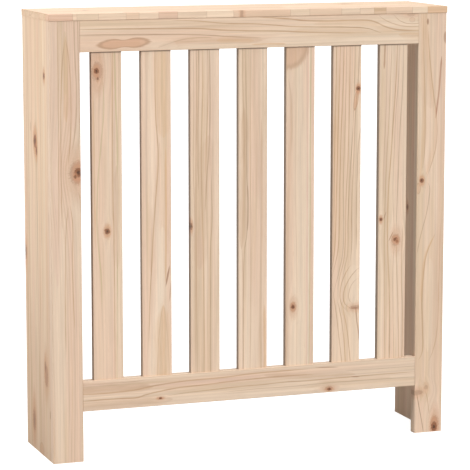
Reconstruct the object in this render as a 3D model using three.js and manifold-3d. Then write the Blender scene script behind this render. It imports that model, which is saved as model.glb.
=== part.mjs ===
// A free-standing radiator cover cabinet in solid pine: a slatted front frame, two side panels
// and a top board, open at the back and below.
//
// Sizes are millimetres. The origin is on the floor, under the middle of the top board. X runs to
// the right along the front, Y runs from the front towards the wall, and Z is up.

import * as THREE from "three";
import { mergeVertices } from "three/addons/utils/BufferGeometryUtils.js";
import Module from "manifold-3d";

// Overall sizes.
const TOTAL_HEIGHT = 840; // floor to the upper face of the top board
const FRAME_WIDTH = 795; // over the outer edges of the two stiles
const TOTAL_DEPTH = 190; // front edge of the top board to the wall

// Boards.
const FRAME_THICKNESS = 18; // stiles and rails
const PANEL_THICKNESS = 18; // side panels
const TOP_THICKNESS = 13; // top board
const STILE_WIDTH = 58.5;
const RAIL_HEIGHT = 58;
const FOOT_HEIGHT = 96; // floor to the lower edge of the bottom rail
const TOP_SIDE_OVERHANG = 1;
const TOP_FRONT_OVERHANG = 1;
const ARRIS_RADIUS = 1.5; // rounding of every long edge
const ARRIS_LIMIT = 0.3; // the rounding's largest share of a board's thickness

// Slats, which stand on the frame's middle plane between the two rails.
const SLAT_COUNT = 7;
const SLAT_WIDTH = 58;
const SLAT_THICKNESS = 13;
const END_GAP = 22; // from a stile to the first slat beside it
const TENON_WIDTH = 42;
const TENON_THICKNESS = 7;
const TENON_LENGTH = 12;

// Wooden dowels.
const DOWEL_DIAMETER = 8;
const DOWEL_CHAMFER = 1;
const RAIL_DOWEL_DEPTH = 20; // into a rail's end, and as far into the stile
const RAIL_DOWEL_SPACING = 30;
const STILE_DOWEL_DEPTH = 11; // into a stile's back face
const TOP_DOWEL_DEPTH = 8; // into the underside of the top board
const PANEL_DOWEL_DEPTH = 20; // into the edge of a side panel or of the top rail
const STILE_DOWEL_END_INSET = 60; // from the floor, and from the top board
const PANEL_DOWEL_INSET = 35; // from a side panel's front and back edges
const RAIL_TOP_DOWEL_INSET = 140; // from a stile to the dowel in the top rail's upper edge

// Steel angle brackets in the inner corners, each held by two wood screws.
const BRACKET_LEG = 28;
const BRACKET_WIDTH = 16;
const BRACKET_THICKNESS = 2;
const BRACKET_BEND_RADIUS = 1.5; // on the inside of the bend
const BRACKET_HOLE_DIAMETER = 4.4;
const BRACKET_HOLE_DISTANCE = 18; // from the corner to each screw
const STILE_BRACKET_HEIGHTS = { lower: 230, upper: 600 };
const TOP_BRACKET_INSET = 62; // from a side panel's front and back edges

// Pan-head wood screws.
const SCREW_SHANK_DIAMETER = 3.4;
const SCREW_LENGTH = 12; // under the head
const SCREW_POINT_LENGTH = 3;
const SCREW_HEAD_DIAMETER = 7;
const SCREW_HEAD_HEIGHT = 2.4;
const SCREW_HEAD_RIM = 0.8; // straight part of the head's side
const RECESS_WIDTH = 3.6; // across the cross recess
const RECESS_SLOT = 0.9; // width of each arm of the cross
const RECESS_DEPTH = 1.3;

// Clearances.
const GLUE_LINE = 0.1; // between two boards, and between a bracket, its board and its screws
const DOWEL_FIT = 0.1; // round a dowel
const TENON_FIT = 0.2; // round a tenon
const SCREW_FIT = 0.1; // round a screw's shank
const HOLE_END_SPACE = 1; // past the end of each dowel, tenon and screw

// Facets.
const ROUND_STEPS = 12; // round a dowel, a screw or a hole
const ARRIS_STEPS = 2; // round each rounded edge
const BEND_STEPS = 4; // round a bracket's bend
const CROWN_STEPS = 3; // over a screw's head
const MERGE_DISTANCE = 1e-4;

// Places that follow from the sizes.
const frontY = -TOTAL_DEPTH / 2;
const backY = TOTAL_DEPTH / 2;
const frameMiddleY = frontY + TOP_FRONT_OVERHANG + FRAME_THICKNESS / 2;
const frameBackY = frameMiddleY + FRAME_THICKNESS / 2;
const topUndersideZ = TOTAL_HEIGHT - TOP_THICKNESS;
const bodyTopZ = topUndersideZ - GLUE_LINE;
const topRailLowZ = bodyTopZ - RAIL_HEIGHT;
const bottomRailTopZ = FOOT_HEIGHT + RAIL_HEIGHT;
const frameOpening = FRAME_WIDTH - 2 * STILE_WIDTH;
const panelCentreX = (FRAME_WIDTH - PANEL_THICKNESS) / 2;
const panelInnerX = FRAME_WIDTH / 2 - PANEL_THICKNESS;
const panelFrontY = frameBackY + GLUE_LINE;
const panelDepth = backY - panelFrontY;
const slatLength = topRailLowZ - bottomRailTopZ - 2 * GLUE_LINE;
const slatRowWidth = frameOpening - 2 * END_GAP;
const slatPitch = (slatRowWidth - SLAT_WIDTH) / (SLAT_COUNT - 1);

const SIDES = { left: -1, right: 1 };
const X = new THREE.Vector3(1, 0, 0);
const Y = new THREE.Vector3(0, 1, 0);
const Z = new THREE.Vector3(0, 0, 1);

const pine = { color: 0xe0c3a2, roughness: 0.62, metalness: 0 };
const pineTop = { color: 0xe9cfae, roughness: 0.6, metalness: 0 };
const beech = { color: 0xd2a878, roughness: 0.7, metalness: 0 };
const zincSteel = { color: 0xb9bcbe, roughness: 0.38, metalness: 0.9 };

const wasm = await Module();
wasm.setup();

// The solid inside a closed geometry.
function solidOf(geometry) {
  const bare = new THREE.BufferGeometry();
  bare.setAttribute("position", geometry.getAttribute("position"));
  bare.setIndex(geometry.index);
  const merged = mergeVertices(bare, MERGE_DISTANCE);
  return new wasm.Manifold(
    new wasm.Mesh({
      numProp: 3,
      vertProperties: merged.getAttribute("position").array,
      triVerts: new Uint32Array(merged.index.array),
    }),
  );
}

// The surface of a solid, as a flat-shaded geometry.
function geometryOf(solid) {
  const mesh = solid.getMesh();
  const geometry = new THREE.BufferGeometry();
  geometry.setAttribute("position", new THREE.BufferAttribute(mesh.vertProperties, 3));
  geometry.setIndex(new THREE.BufferAttribute(mesh.triVerts, 1));
  const flat = geometry.toNonIndexed();
  flat.computeVertexNormals();
  return flat;
}

// One geometry with others taken out of it.
function without(geometry, cutters) {
  const cut = cutters.reduce((solid, cutter) => solid.subtract(solidOf(cutter)), solidOf(geometry));
  return geometryOf(cut);
}

// Takes the holes that each fitting carries out of a board, where the fitting stands.
function cutHoles(board, fittings) {
  const intoBoard = board.matrixWorld.clone().invert();
  const holes = fittings.flatMap((fitting) => {
    const move = intoBoard.clone().multiply(fitting.matrixWorld);
    return fitting.userData.holes.map((hole) => hole.clone().applyMatrix4(move));
  });
  board.geometry = without(board.geometry, holes);
}

// A named piece of the cabinet.
function piece(name, geometry, finish) {
  const mesh = new THREE.Mesh(geometry, new THREE.MeshStandardMaterial(finish));
  mesh.name = name;
  return mesh;
}

// A planed board about its own centre: X is its width, Y its thickness and Z the grain.
function planedBoard(width, thickness, length) {
  const radius = Math.min(ARRIS_RADIUS, thickness * ARRIS_LIMIT);
  const [right, top] = [width / 2, thickness / 2];
  const section = new THREE.Shape();
  section.absarc(right - radius, top - radius, radius, 0, Math.PI / 2);
  section.absarc(radius - right, top - radius, radius, Math.PI / 2, Math.PI);
  section.absarc(radius - right, radius - top, radius, Math.PI, 1.5 * Math.PI);
  section.absarc(right - radius, radius - top, radius, 1.5 * Math.PI, 2 * Math.PI);
  const board = new THREE.ExtrudeGeometry(section, {
    depth: length,
    bevelEnabled: false,
    curveSegments: ARRIS_STEPS,
  });
  return board.translate(0, 0, -length / 2);
}

// A plain cylinder along Y that starts at one height and ends at another.
function roundHole(radius, fromY, toY) {
  const hole = new THREE.CylinderGeometry(radius, radius, toY - fromY, ROUND_STEPS);
  return hole.translate(0, (fromY + toY) / 2, 0);
}

// A dowel along Y. It goes the first depth below the joint and the second above it.
function dowel(name, depthBelow, depthAbove) {
  const radius = DOWEL_DIAMETER / 2;
  const profile = [
    [0, -depthBelow],
    [radius - DOWEL_CHAMFER, -depthBelow],
    [radius, DOWEL_CHAMFER - depthBelow],
    [radius, depthAbove - DOWEL_CHAMFER],
    [radius - DOWEL_CHAMFER, depthAbove],
    [0, depthAbove],
  ].map(([x, y]) => new THREE.Vector2(x, y));
  const mesh = piece(name, new THREE.LatheGeometry(profile, ROUND_STEPS), beech);
  mesh.userData.holes = [
    roundHole(radius + DOWEL_FIT, -depthBelow - HOLE_END_SPACE, depthAbove + HOLE_END_SPACE),
  ];
  return mesh;
}

// A wood screw along Y: its head stands on y = 0, and its point is below.
function woodScrew(name) {
  const [shank, head] = [SCREW_SHANK_DIAMETER / 2, SCREW_HEAD_DIAMETER / 2];
  const crown = new THREE.QuadraticBezierCurve(
    new THREE.Vector2(head, SCREW_HEAD_RIM),
    new THREE.Vector2(head, SCREW_HEAD_HEIGHT),
    new THREE.Vector2(0, SCREW_HEAD_HEIGHT),
  ).getPoints(CROWN_STEPS);
  const profile = [
    new THREE.Vector2(0, -SCREW_LENGTH),
    new THREE.Vector2(shank, SCREW_POINT_LENGTH - SCREW_LENGTH),
    new THREE.Vector2(shank, 0),
    new THREE.Vector2(head, 0),
    ...crown,
  ];
  const recess = [0, Math.PI / 2].map((turn) => {
    const arm = new THREE.BoxGeometry(RECESS_WIDTH, 2 * RECESS_DEPTH, RECESS_SLOT);
    return arm.rotateY(turn).translate(0, SCREW_HEAD_HEIGHT, 0);
  });
  const turned = new THREE.LatheGeometry(profile, ROUND_STEPS);
  const mesh = piece(name, without(turned, recess), zincSteel);
  mesh.userData.holes = [roundHole(shank + SCREW_FIT, -SCREW_LENGTH - HOLE_END_SPACE, 0)];
  return mesh;
}

// An angle bracket in the corner between the planes x = 0 and y = 0, about the middle of its width.
function angleBracket(name) {
  const bend = BRACKET_THICKNESS + BRACKET_BEND_RADIUS;
  const section = new THREE.Shape();
  section.moveTo(BRACKET_LEG, 0);
  section.lineTo(BRACKET_LEG, BRACKET_THICKNESS);
  section.lineTo(bend, BRACKET_THICKNESS);
  section.absarc(bend, bend, BRACKET_BEND_RADIUS, -Math.PI / 2, -Math.PI, true);
  section.lineTo(BRACKET_THICKNESS, BRACKET_LEG);
  section.lineTo(0, BRACKET_LEG);
  section.lineTo(0, bend);
  section.absarc(bend, bend, bend, Math.PI, 1.5 * Math.PI);
  const strip = new THREE.ExtrudeGeometry(section, {
    depth: BRACKET_WIDTH,
    bevelEnabled: false,
    curveSegments: BEND_STEPS,
  });
  strip.translate(0, 0, -BRACKET_WIDTH / 2);
  const radius = BRACKET_HOLE_DIAMETER / 2;
  const hole = roundHole(radius, -BRACKET_THICKNESS, 2 * BRACKET_THICKNESS);
  const holes = [
    hole.clone().translate(BRACKET_HOLE_DISTANCE, 0, 0),
    hole.clone().rotateZ(-Math.PI / 2).translate(0, BRACKET_HOLE_DISTANCE, 0),
  ];
  return piece(name, without(strip, holes), zincSteel);
}

// A bracket with its two screws, the first into the board on y = 0, the second into that on x = 0.
function cornerFixing(name, firstBoard, secondBoard) {
  const seat = 2 * GLUE_LINE + BRACKET_THICKNESS;
  const bracket = angleBracket(name);
  bracket.position.set(GLUE_LINE, GLUE_LINE, 0);
  const first = woodScrew(`${name}_screw_into_${firstBoard}`);
  first.position.set(BRACKET_HOLE_DISTANCE + GLUE_LINE, seat, 0);
  const second = woodScrew(`${name}_screw_into_${secondBoard}`);
  second.position.set(seat, BRACKET_HOLE_DISTANCE + GLUE_LINE, 0);
  second.rotation.z = -Math.PI / 2;
  const fixing = new THREE.Group();
  fixing.add(bracket, first, second);
  return { fixing, first, second };
}

// Turns an object so that its own X and Y axes lie along the given directions.
function face(object, alongX, alongY) {
  const alongZ = alongX.clone().cross(alongY);
  object.quaternion.setFromRotationMatrix(new THREE.Matrix4().makeBasis(alongX, alongY, alongZ));
}

// A slat with a tenon at each end. Its mortises are the holes that it carries.
function slat(name) {
  const body = planedBoard(SLAT_WIDTH, SLAT_THICKNESS, slatLength);
  const tenonSpan = slatLength + 2 * TENON_LENGTH;
  const tenons = new THREE.BoxGeometry(TENON_WIDTH, TENON_THICKNESS, tenonSpan);
  const mesh = piece(name, geometryOf(solidOf(body).add(solidOf(tenons))), pine);
  mesh.userData.holes = [
    new THREE.BoxGeometry(
      TENON_WIDTH + 2 * TENON_FIT,
      TENON_THICKNESS + 2 * TENON_FIT,
      tenonSpan + 2 * HOLE_END_SPACE,
    ),
  ];
  return mesh;
}

// The front frame stands with its middle plane on y = 0 of its own group.
function frontFrame() {
  const frame = new THREE.Group();
  frame.position.y = frameMiddleY;
  const stiles = {};
  for (const [side, sign] of Object.entries(SIDES)) {
    const board = planedBoard(STILE_WIDTH, FRAME_THICKNESS, bodyTopZ);
    stiles[side] = piece(`${side}_stile`, board, pine);
    stiles[side].position.set((sign * (FRAME_WIDTH - STILE_WIDTH)) / 2, 0, bodyTopZ / 2);
  }
  const railCentres = { top: topRailLowZ + RAIL_HEIGHT / 2, bottom: FOOT_HEIGHT + RAIL_HEIGHT / 2 };
  const rails = {};
  for (const [level, height] of Object.entries(railCentres)) {
    const board = planedBoard(RAIL_HEIGHT, FRAME_THICKNESS, frameOpening - 2 * GLUE_LINE);
    rails[level] = piece(`${level}_rail`, board, pine);
    rails[level].rotation.y = Math.PI / 2;
    rails[level].position.z = height;
  }
  const slats = Array.from({ length: SLAT_COUNT }, (_, index) => {
    const mesh = slat(`slat_${index + 1}`);
    const fromMiddle = index - (SLAT_COUNT - 1) / 2;
    mesh.position.set(fromMiddle * slatPitch, 0, (topRailLowZ + bottomRailTopZ) / 2);
    return mesh;
  });
  frame.add(...Object.values(stiles), ...Object.values(rails), ...slats);
  return { frame, stiles, rails, slats, railCentres };
}

// Dowels that join each end of a rail to its stile, in the frame's group.
function railDowels(railCentres) {
  const dowels = [];
  for (const [side, sign] of Object.entries(SIDES)) {
    for (const [level, height] of Object.entries(railCentres)) {
      for (const [place, shift] of Object.entries({ lower: -0.5, upper: 0.5 })) {
        const name = `${level}_rail_${side}_${place}_dowel`;
        const mesh = dowel(name, RAIL_DOWEL_DEPTH, RAIL_DOWEL_DEPTH);
        const jointX = sign * (frameOpening / 2);
        mesh.position.set(jointX, 0, height + shift * RAIL_DOWEL_SPACING);
        mesh.rotation.z = (-sign * Math.PI) / 2;
        dowels.push({ mesh, side, level });
      }
    }
  }
  return dowels;
}

// A side panel stands behind its stile, with its outer face level with the stile's edge.
function sidePanel(side, sign) {
  const board = piece(
    `${side}_side_panel`,
    planedBoard(panelDepth, PANEL_THICKNESS, bodyTopZ),
    pine,
  );
  board.position.set(sign * panelCentreX, panelFrontY + panelDepth / 2, bodyTopZ / 2);
  board.rotation.z = Math.PI / 2;
  return board;
}

function topBoard() {
  const width = FRAME_WIDTH + 2 * TOP_SIDE_OVERHANG;
  const board = piece("top_board", planedBoard(TOTAL_DEPTH, TOP_THICKNESS, width), pineTop);
  face(board, Y, Z);
  board.position.z = topUndersideZ + TOP_THICKNESS / 2;
  return board;
}

// Dowels between a side panel's front edge and the back of its stile.
function stileDowels(side, sign) {
  const heights = {
    lower: STILE_DOWEL_END_INSET,
    middle: bodyTopZ / 2,
    upper: bodyTopZ - STILE_DOWEL_END_INSET,
  };
  return Object.entries(heights).map(([place, height]) => {
    const mesh = dowel(`${side}_panel_${place}_dowel`, STILE_DOWEL_DEPTH, PANEL_DOWEL_DEPTH);
    mesh.position.set(sign * panelCentreX, frameBackY, height);
    return mesh;
  });
}

// A dowel between the top board and the board below it.
function topDowel(name, x, y) {
  const mesh = dowel(name, PANEL_DOWEL_DEPTH, TOP_DOWEL_DEPTH);
  mesh.position.set(x, y, topUndersideZ);
  mesh.rotation.x = Math.PI / 2;
  return mesh;
}

// Two of the top board's dowels, in the upper end of a side panel.
function panelTopDowels(side, sign) {
  const places = { front: panelFrontY + PANEL_DOWEL_INSET, rear: backY - PANEL_DOWEL_INSET };
  return Object.entries(places).map(([place, y]) =>
    topDowel(`${side}_panel_top_${place}_dowel`, sign * panelCentreX, y),
  );
}

// Brackets between a side panel and the back of its stile.
function stileFixings(side, sign) {
  return Object.entries(STILE_BRACKET_HEIGHTS).map(([place, height]) => {
    const made = cornerFixing(`${side}_stile_${place}_bracket`, "stile", "panel");
    face(made.fixing, X.clone().multiplyScalar(-sign), Y);
    made.fixing.position.set(sign * panelInnerX, frameBackY, height);
    return made;
  });
}

// Brackets between a side panel and the underside of the top board.
function topFixings(side, sign) {
  const places = { front: panelFrontY + TOP_BRACKET_INSET, rear: backY - TOP_BRACKET_INSET };
  return Object.entries(places).map(([place, y]) => {
    const made = cornerFixing(`${side}_top_${place}_bracket`, "top", "panel");
    face(made.fixing, X.clone().multiplyScalar(-sign), Z.clone().negate());
    made.fixing.position.set(sign * panelInnerX, y, topUndersideZ);
    return made;
  });
}

// Puts the pieces together, then cuts the holes and mortises that each board needs.
function cabinet() {
  const group = new THREE.Group();
  const { frame, stiles, rails, slats, railCentres } = frontFrame();
  const endDowels = railDowels(railCentres);
  frame.add(...endDowels.map(({ mesh }) => mesh));
  const top = topBoard();
  group.add(frame, top);
  const railTopDowels = Object.entries(SIDES).map(([side, sign]) => {
    const x = sign * (frameOpening / 2 - RAIL_TOP_DOWEL_INSET);
    return topDowel(`top_rail_top_${side}_dowel`, x, frameMiddleY);
  });
  group.add(...railTopDowels);

  const cuts = new Map([
    [top, [...railTopDowels]],
    [rails.top, [...slats, ...railTopDowels]],
    [rails.bottom, [...slats]],
    [stiles.left, []],
    [stiles.right, []],
  ]);
  for (const { mesh, side, level } of endDowels) {
    cuts.get(stiles[side]).push(mesh);
    cuts.get(rails[level]).push(mesh);
  }
  for (const [side, sign] of Object.entries(SIDES)) {
    const panel = sidePanel(side, sign);
    const toStile = stileDowels(side, sign);
    const toTop = panelTopDowels(side, sign);
    const atStile = stileFixings(side, sign);
    const atTop = topFixings(side, sign);
    group.add(panel, ...toStile, ...toTop);
    group.add(...[...atStile, ...atTop].map(({ fixing }) => fixing));
    const panelScrews = [...atStile, ...atTop].map(({ second }) => second);
    cuts.set(panel, [...toStile, ...toTop, ...panelScrews]);
    cuts.get(stiles[side]).push(...toStile, ...atStile.map(({ first }) => first));
    cuts.get(top).push(...toTop, ...atTop.map(({ first }) => first));
  }
  group.updateMatrixWorld(true);
  for (const [board, fittings] of cuts) cutHoles(board, fittings);
  return group;
}

const group = cabinet();

export default group;
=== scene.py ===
"""The looks of a slatted radiator cover cabinet in knotty pine.

Everything is in metres, in the cabinet's own frame: X runs to the right along the front, Y from
the front towards the wall and Z up, and the origin is on the floor under the middle of the top
board. Every board takes its size and place from the construction model. The knots and stains are
placed on the boards one by one, and the grain is grown round them by the materials.
"""

import logging
import math
from collections.abc import Iterable, Mapping, Sequence
from dataclasses import dataclass, field
from enum import Enum
from functools import reduce

import bmesh
import bpy
from mathutils import Matrix, Vector

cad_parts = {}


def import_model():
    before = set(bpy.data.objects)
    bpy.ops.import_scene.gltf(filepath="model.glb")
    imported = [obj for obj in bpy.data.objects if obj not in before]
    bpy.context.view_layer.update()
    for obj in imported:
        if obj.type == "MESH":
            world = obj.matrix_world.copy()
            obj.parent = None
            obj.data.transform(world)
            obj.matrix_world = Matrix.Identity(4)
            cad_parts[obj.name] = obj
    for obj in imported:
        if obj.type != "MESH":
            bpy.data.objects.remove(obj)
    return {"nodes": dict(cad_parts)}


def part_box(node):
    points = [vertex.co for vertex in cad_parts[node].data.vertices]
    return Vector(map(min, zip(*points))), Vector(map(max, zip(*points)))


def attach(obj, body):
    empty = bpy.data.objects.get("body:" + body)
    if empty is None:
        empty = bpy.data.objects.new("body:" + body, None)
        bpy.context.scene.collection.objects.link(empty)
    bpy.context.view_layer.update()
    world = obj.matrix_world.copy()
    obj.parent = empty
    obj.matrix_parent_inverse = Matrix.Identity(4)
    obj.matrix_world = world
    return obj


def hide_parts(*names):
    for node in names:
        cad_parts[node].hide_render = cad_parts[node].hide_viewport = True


LOG = logging.getLogger("cabinet")
BODY = "root"  # the cabinet has no moving part, so every piece rides on one body
MM = 0.001
SHARP_ANGLE = math.radians(40)  # edges that turn by more than this stay crisp

Socket = bpy.types.NodeSocket
Tree = bpy.types.NodeTree
Piece = bpy.types.Object
Material = bpy.types.Material
Value = float | int | str | Sequence[float] | Socket
Colour = tuple[float, float, float, float]


# Helpers for node trees and meshes


class Wiring:
    """Adds and joins the nodes of one tree, so that a graph reads like a sum."""

    def __init__(self, tree: Tree) -> None:
        """Keeps the tree that the nodes go into."""
        self.tree = tree

    def feed(self, socket: Socket, value: Value) -> None:
        """Links a socket to another, or sets its own value."""
        if isinstance(value, Socket):
            self.tree.links.new(value, socket)
        else:
            socket.default_value = value

    def node(self, kind: str, *values: Value | None, **named: object) -> bpy.types.Node:
        """Adds a node.

        Args:
            kind: The node's type.
            values: What its inputs get, in their order. None leaves one as it is.
            named: The node's own properties, and inputs by their names, which start with a
                capital and have an underscore for each space.

        Returns:
            The new node.
        """
        made = self.tree.nodes.new(kind)
        for name, setting in named.items():
            if name[0].islower():
                setattr(made, name, setting)
        for socket, value in zip(made.inputs, values):
            if value is not None:
                self.feed(socket, value)
        for name, value in named.items():
            if name[0].isupper():
                self.feed(made.inputs[name.replace("_", " ")], value)
        return made

    def first(self, kind: str, *values: Value | None, **named: object) -> Socket:
        """Adds a node in the same way, and gives its first output."""
        return self.node(kind, *values, **named).outputs[0]

    def group(self, tree: Tree, **inputs: Value) -> Mapping[str, Socket]:
        """Puts a shared group in, with its own values, and gives its outputs."""
        return self.node("ShaderNodeGroup", node_tree=tree, **inputs).outputs

    def math(self, operation: str, *values: Value) -> Socket:
        """Does one sum on numbers."""
        return self.first("ShaderNodeMath", *values, operation=operation)

    def add(self, *values: Value) -> Socket:
        """Adds numbers up."""
        return reduce(lambda total, value: self.math("ADD", total, value), values)

    def times(self, *values: Value) -> Socket:
        """Multiplies numbers."""
        return reduce(lambda product, value: self.math("MULTIPLY", product, value), values)

    def less(self, value: Value, taken: Value) -> Socket:
        """Takes the second number from the first."""
        return self.math("SUBTRACT", value, taken)

    def over(self, value: Value, divisor: Value) -> Socket:
        """Divides the first number by the second."""
        return self.math("DIVIDE", value, divisor)

    def swing(self, noise: Value, *reach: Value) -> Socket:
        """Turns a number from 0 to 1 into one that swings round 0, over its reach."""
        return self.times(self.less(noise, 0.5), *reach)

    def rise(self, value: Value, start: Value, end: Value, low: float = 0.0, high: float = 1.0) -> Socket:
        """Goes smoothly from low at start to high at end."""
        return self.first(
            "ShaderNodeMapRange", value, start, end, low, high, interpolation_type="SMOOTHSTEP"
        )

    def fade(self, value: Value, start: Value, end: Value) -> Socket:
        """Goes smoothly from 1 at start to 0 at end."""
        return self.rise(value, start, end, 1.0, 0.0)

    def parts(self, vector: Value) -> tuple[Socket, ...]:
        """Splits a vector into its three numbers."""
        return tuple(self.node("ShaderNodeSeparateXYZ", vector).outputs)

    def split(self, colour: Value) -> tuple[Socket, ...]:
        """Splits a colour into its red, green and blue."""
        return tuple(self.node("ShaderNodeSeparateColor", colour).outputs)

    def vector(self, *numbers: Value) -> Socket:
        """Makes a vector from up to three numbers."""
        return self.first("ShaderNodeCombineXYZ", *numbers)

    def vector_math(self, operation: str, *values: Value) -> Socket:
        """Does one sum on vectors."""
        return self.first("ShaderNodeVectorMath", *values, operation=operation)

    def scaled(self, vector: Value, scale: Value) -> Socket:
        """Multiplies a vector by a number."""
        return self.first("ShaderNodeVectorMath", vector, operation="SCALE", Scale=scale)

    def length(self, *numbers: Value) -> Socket:
        """Measures the vector that up to three numbers make."""
        return self.node("ShaderNodeVectorMath", self.vector(*numbers), operation="LENGTH").outputs["Value"]

    def noise(
        self, vector: Value, detail: float = 2.0, roughness: float = 0.5, output: str = "Fac"
    ) -> Socket:
        """Adds plain 3-D noise at the vector's own scale."""
        return self.node(
            "ShaderNodeTexNoise", Vector=vector, Scale=1.0, Detail=detail, Roughness=roughness
        ).outputs[output]

    def mix(self, share: Value, first: Value, second: Value, blend: str = "MIX") -> Socket:
        """Mixes two colours."""
        made = self.node("ShaderNodeMix", data_type="RGBA", blend_type=blend, clamp_factor=True)
        for slot, value in zip((0, 6, 7), (share, first, second)):
            self.feed(made.inputs[slot], value)
        return made.outputs[2]

    def seen(self) -> Socket:
        """Gives 1 where something is looked at, also through gloss and glass, and 0 where it lights."""
        path = self.node("ShaderNodeLightPath").outputs
        reflected = self.math("MAXIMUM", path["Is Glossy Ray"], path["Is Transmission Ray"])
        return self.math("MAXIMUM", path["Is Camera Ray"], reflected)

    def named(self, name: str, kind: str = "FLOAT_VECTOR") -> Socket:
        """Reads an attribute of a mesh by its name."""
        return self.node("GeometryNodeInputNamedAttribute", data_type=kind, Name=name).outputs["Attribute"]

    def row(self, count: Value, start: Value, step: Value) -> Socket:
        """Sets out points in a row."""
        return self.first(
            "GeometryNodeMeshLine", mode="OFFSET", Count=count, Start_Location=start, Offset=step,
        )

    def block(self, x: Value, y: Value, z: Value, rows: Value = 2) -> Socket:
        """Makes a block round the origin, with rows of points along X."""
        return self.first("GeometryNodeMeshCube", Size=self.vector(x, y, z), Vertices_X=rows)

    def rod(self, sides: Value, radius: Value, depth: Value, steps: Value = 1) -> Socket:
        """Makes a round rod up the Z axis, in steps."""
        return self.first(
            "GeometryNodeMeshCylinder", Vertices=sides, Side_Segments=steps, Radius=radius, Depth=depth
        )

    def bar(self, width: Value, depth: Value, half_length: Value, radius: Value, steps: Value) -> Socket:
        """Makes a bar up the Z axis, with its four long edges rounded in steps."""
        outline = self.first("GeometryNodeCurvePrimitiveQuadrilateral", Width=width, Height=depth)
        rounded = self.first(
            "GeometryNodeFilletCurve", mode="POLY", Curve=outline, Count=steps, Radius=radius,
        )
        bottom = self.vector(0.0, 0.0, self.times(half_length, -1.0))
        top = self.vector(0.0, 0.0, half_length)
        path = self.first("GeometryNodeCurvePrimitiveLine", Start=bottom, End=top)
        return self.first("GeometryNodeCurveToMesh", Curve=path, Profile_Curve=rounded, Fill_Caps=True)

    def moved(self, shape: Value, place: Value) -> Socket:
        """Puts every point of a shape at a new place."""
        return self.first("GeometryNodeSetPosition", Geometry=shape, Position=place)

    def lathed(self, shape: Value, girth: Value, height: Value) -> Socket:
        """Widens a shape round the Z axis by a girth, and moves its points to a height."""
        x, y, _ = self.parts(self.first("GeometryNodeInputPosition"))
        return self.moved(shape, self.vector(self.times(x, girth), self.times(y, girth), height))

    def joined(self, operation: str, first: Value, *others: Value) -> Socket:
        """Joins, cuts or crosses closed shapes."""
        made = self.node("GeometryNodeMeshBoolean", operation=operation, solver="EXACT")
        self.feed(made.inputs["Mesh 1" if operation == "DIFFERENCE" else "Mesh 2"], first)
        for other in others:
            self.feed(made.inputs["Mesh 2"], other)
        return made.outputs["Mesh"]

    def repeated(self, points: Value, shape: Value, turn: Value | None = None) -> Socket:
        """Puts a copy of a shape on each point and makes the copies real."""
        made = self.node("GeometryNodeInstanceOnPoints", Points=points, Instance=shape)
        if turn is not None:
            self.feed(made.inputs["Rotation"], turn)
        return self.first("GeometryNodeRealizeInstances", made.outputs[0])

    def dressed(self, shape: Value, finish: Value, chosen: Value | None = None) -> Socket:
        """Gives a shape its material, all over or on the chosen faces."""
        made = self.node("GeometryNodeSetMaterial", Geometry=shape, Material=finish)
        if chosen is not None:
            self.feed(made.inputs["Selection"], chosen)
        return made.outputs[0]


class Surface(Wiring):
    """The wiring of one material, which ends in its one shader."""

    def __init__(self, name: str, colour: Colour) -> None:
        """Starts a material, whose plain colour is the one given."""
        self.material = bpy.data.materials.new(name)
        self.material.use_nodes = True
        self.material.diffuse_color = colour
        super().__init__(self.material.node_tree)

    def bump(self, relief: Value, strength: float, depth: float) -> Socket:
        """Turns a relief of some depth into slopes for the light."""
        return self.first("ShaderNodeBump", Strength=strength, Distance=depth, Height=relief)

    def finished(self, **inputs: Value) -> Material:
        """Feeds the shader's inputs by their names, and gives the material."""
        shader = self.tree.nodes["Principled BSDF"]
        for name, value in inputs.items():
            self.feed(shader.inputs[name.replace("_", " ")], value)
        return self.material


class NodeRecipe:
    """A node group with named inputs and outputs that is built once and used by name."""

    KINDS = {
        "value": "NodeSocketFloat", "vector": "NodeSocketVector", "geometry": "NodeSocketGeometry",
        "count": "NodeSocketInt", "finish": "NodeSocketMaterial",
    }

    def __init__(self, name: str, kind: str = "ShaderNodeTree") -> None:
        """Starts an empty group."""
        self.tree = bpy.data.node_groups.new(name, kind)
        self.wiring = Wiring(self.tree)

    def _socket(self, direction: str, name: str, kind: str) -> None:
        """Adds one of the group's own sockets. An underscore in its name stands for a space."""
        self.tree.interface.new_socket(
            name.replace("_", " "), in_out=direction, socket_type=self.KINDS[kind]
        )

    def takes(self, **names: str) -> tuple[Socket, ...]:
        """Names the inputs, kind by kind with spaces between them, and gives their sockets inside."""
        for kind, listed in names.items():
            for name in listed.split():
                self._socket("INPUT", name, kind)
        return tuple(self.tree.nodes.new("NodeGroupInput").outputs[:-1])

    def gives(self, **values: Socket) -> Tree:
        """Names the outputs, links what they put out, and gives the finished group."""
        for name, value in values.items():
            self._socket("OUTPUT", name, value.type.lower())
        end = self.tree.nodes.new("NodeGroupOutput")
        for socket, value in zip(end.inputs, values.values()):
            self.wiring.feed(socket, value)
        return self.tree


@dataclass(frozen=True)
class Box:
    """The room that a piece of the construction takes."""

    low: Vector
    high: Vector

    @classmethod
    def of(cls, node: str) -> "Box":
        """The box round a named piece of the construction."""
        return cls(*(Vector(corner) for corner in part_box(node)))

    @property
    def centre(self) -> Vector:
        """The middle of the box."""
        return (self.low + self.high) / 2

    @property
    def size(self) -> Vector:
        """The box's three lengths."""
        return self.high - self.low

    @property
    def long_axis(self) -> int:
        """The axis that the box is longest along."""
        return max(range(3), key=lambda axis: self.size[axis])

    def meets(self, other: "Box") -> bool:
        """Tells whether two boxes share some room."""
        return all(
            self.low[axis] < other.high[axis] and other.low[axis] < self.high[axis] for axis in range(3)
        )


def unit(axis: int) -> Vector:
    """The direction of an axis."""
    return Vector(int(which == axis) for which in range(3))


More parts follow.
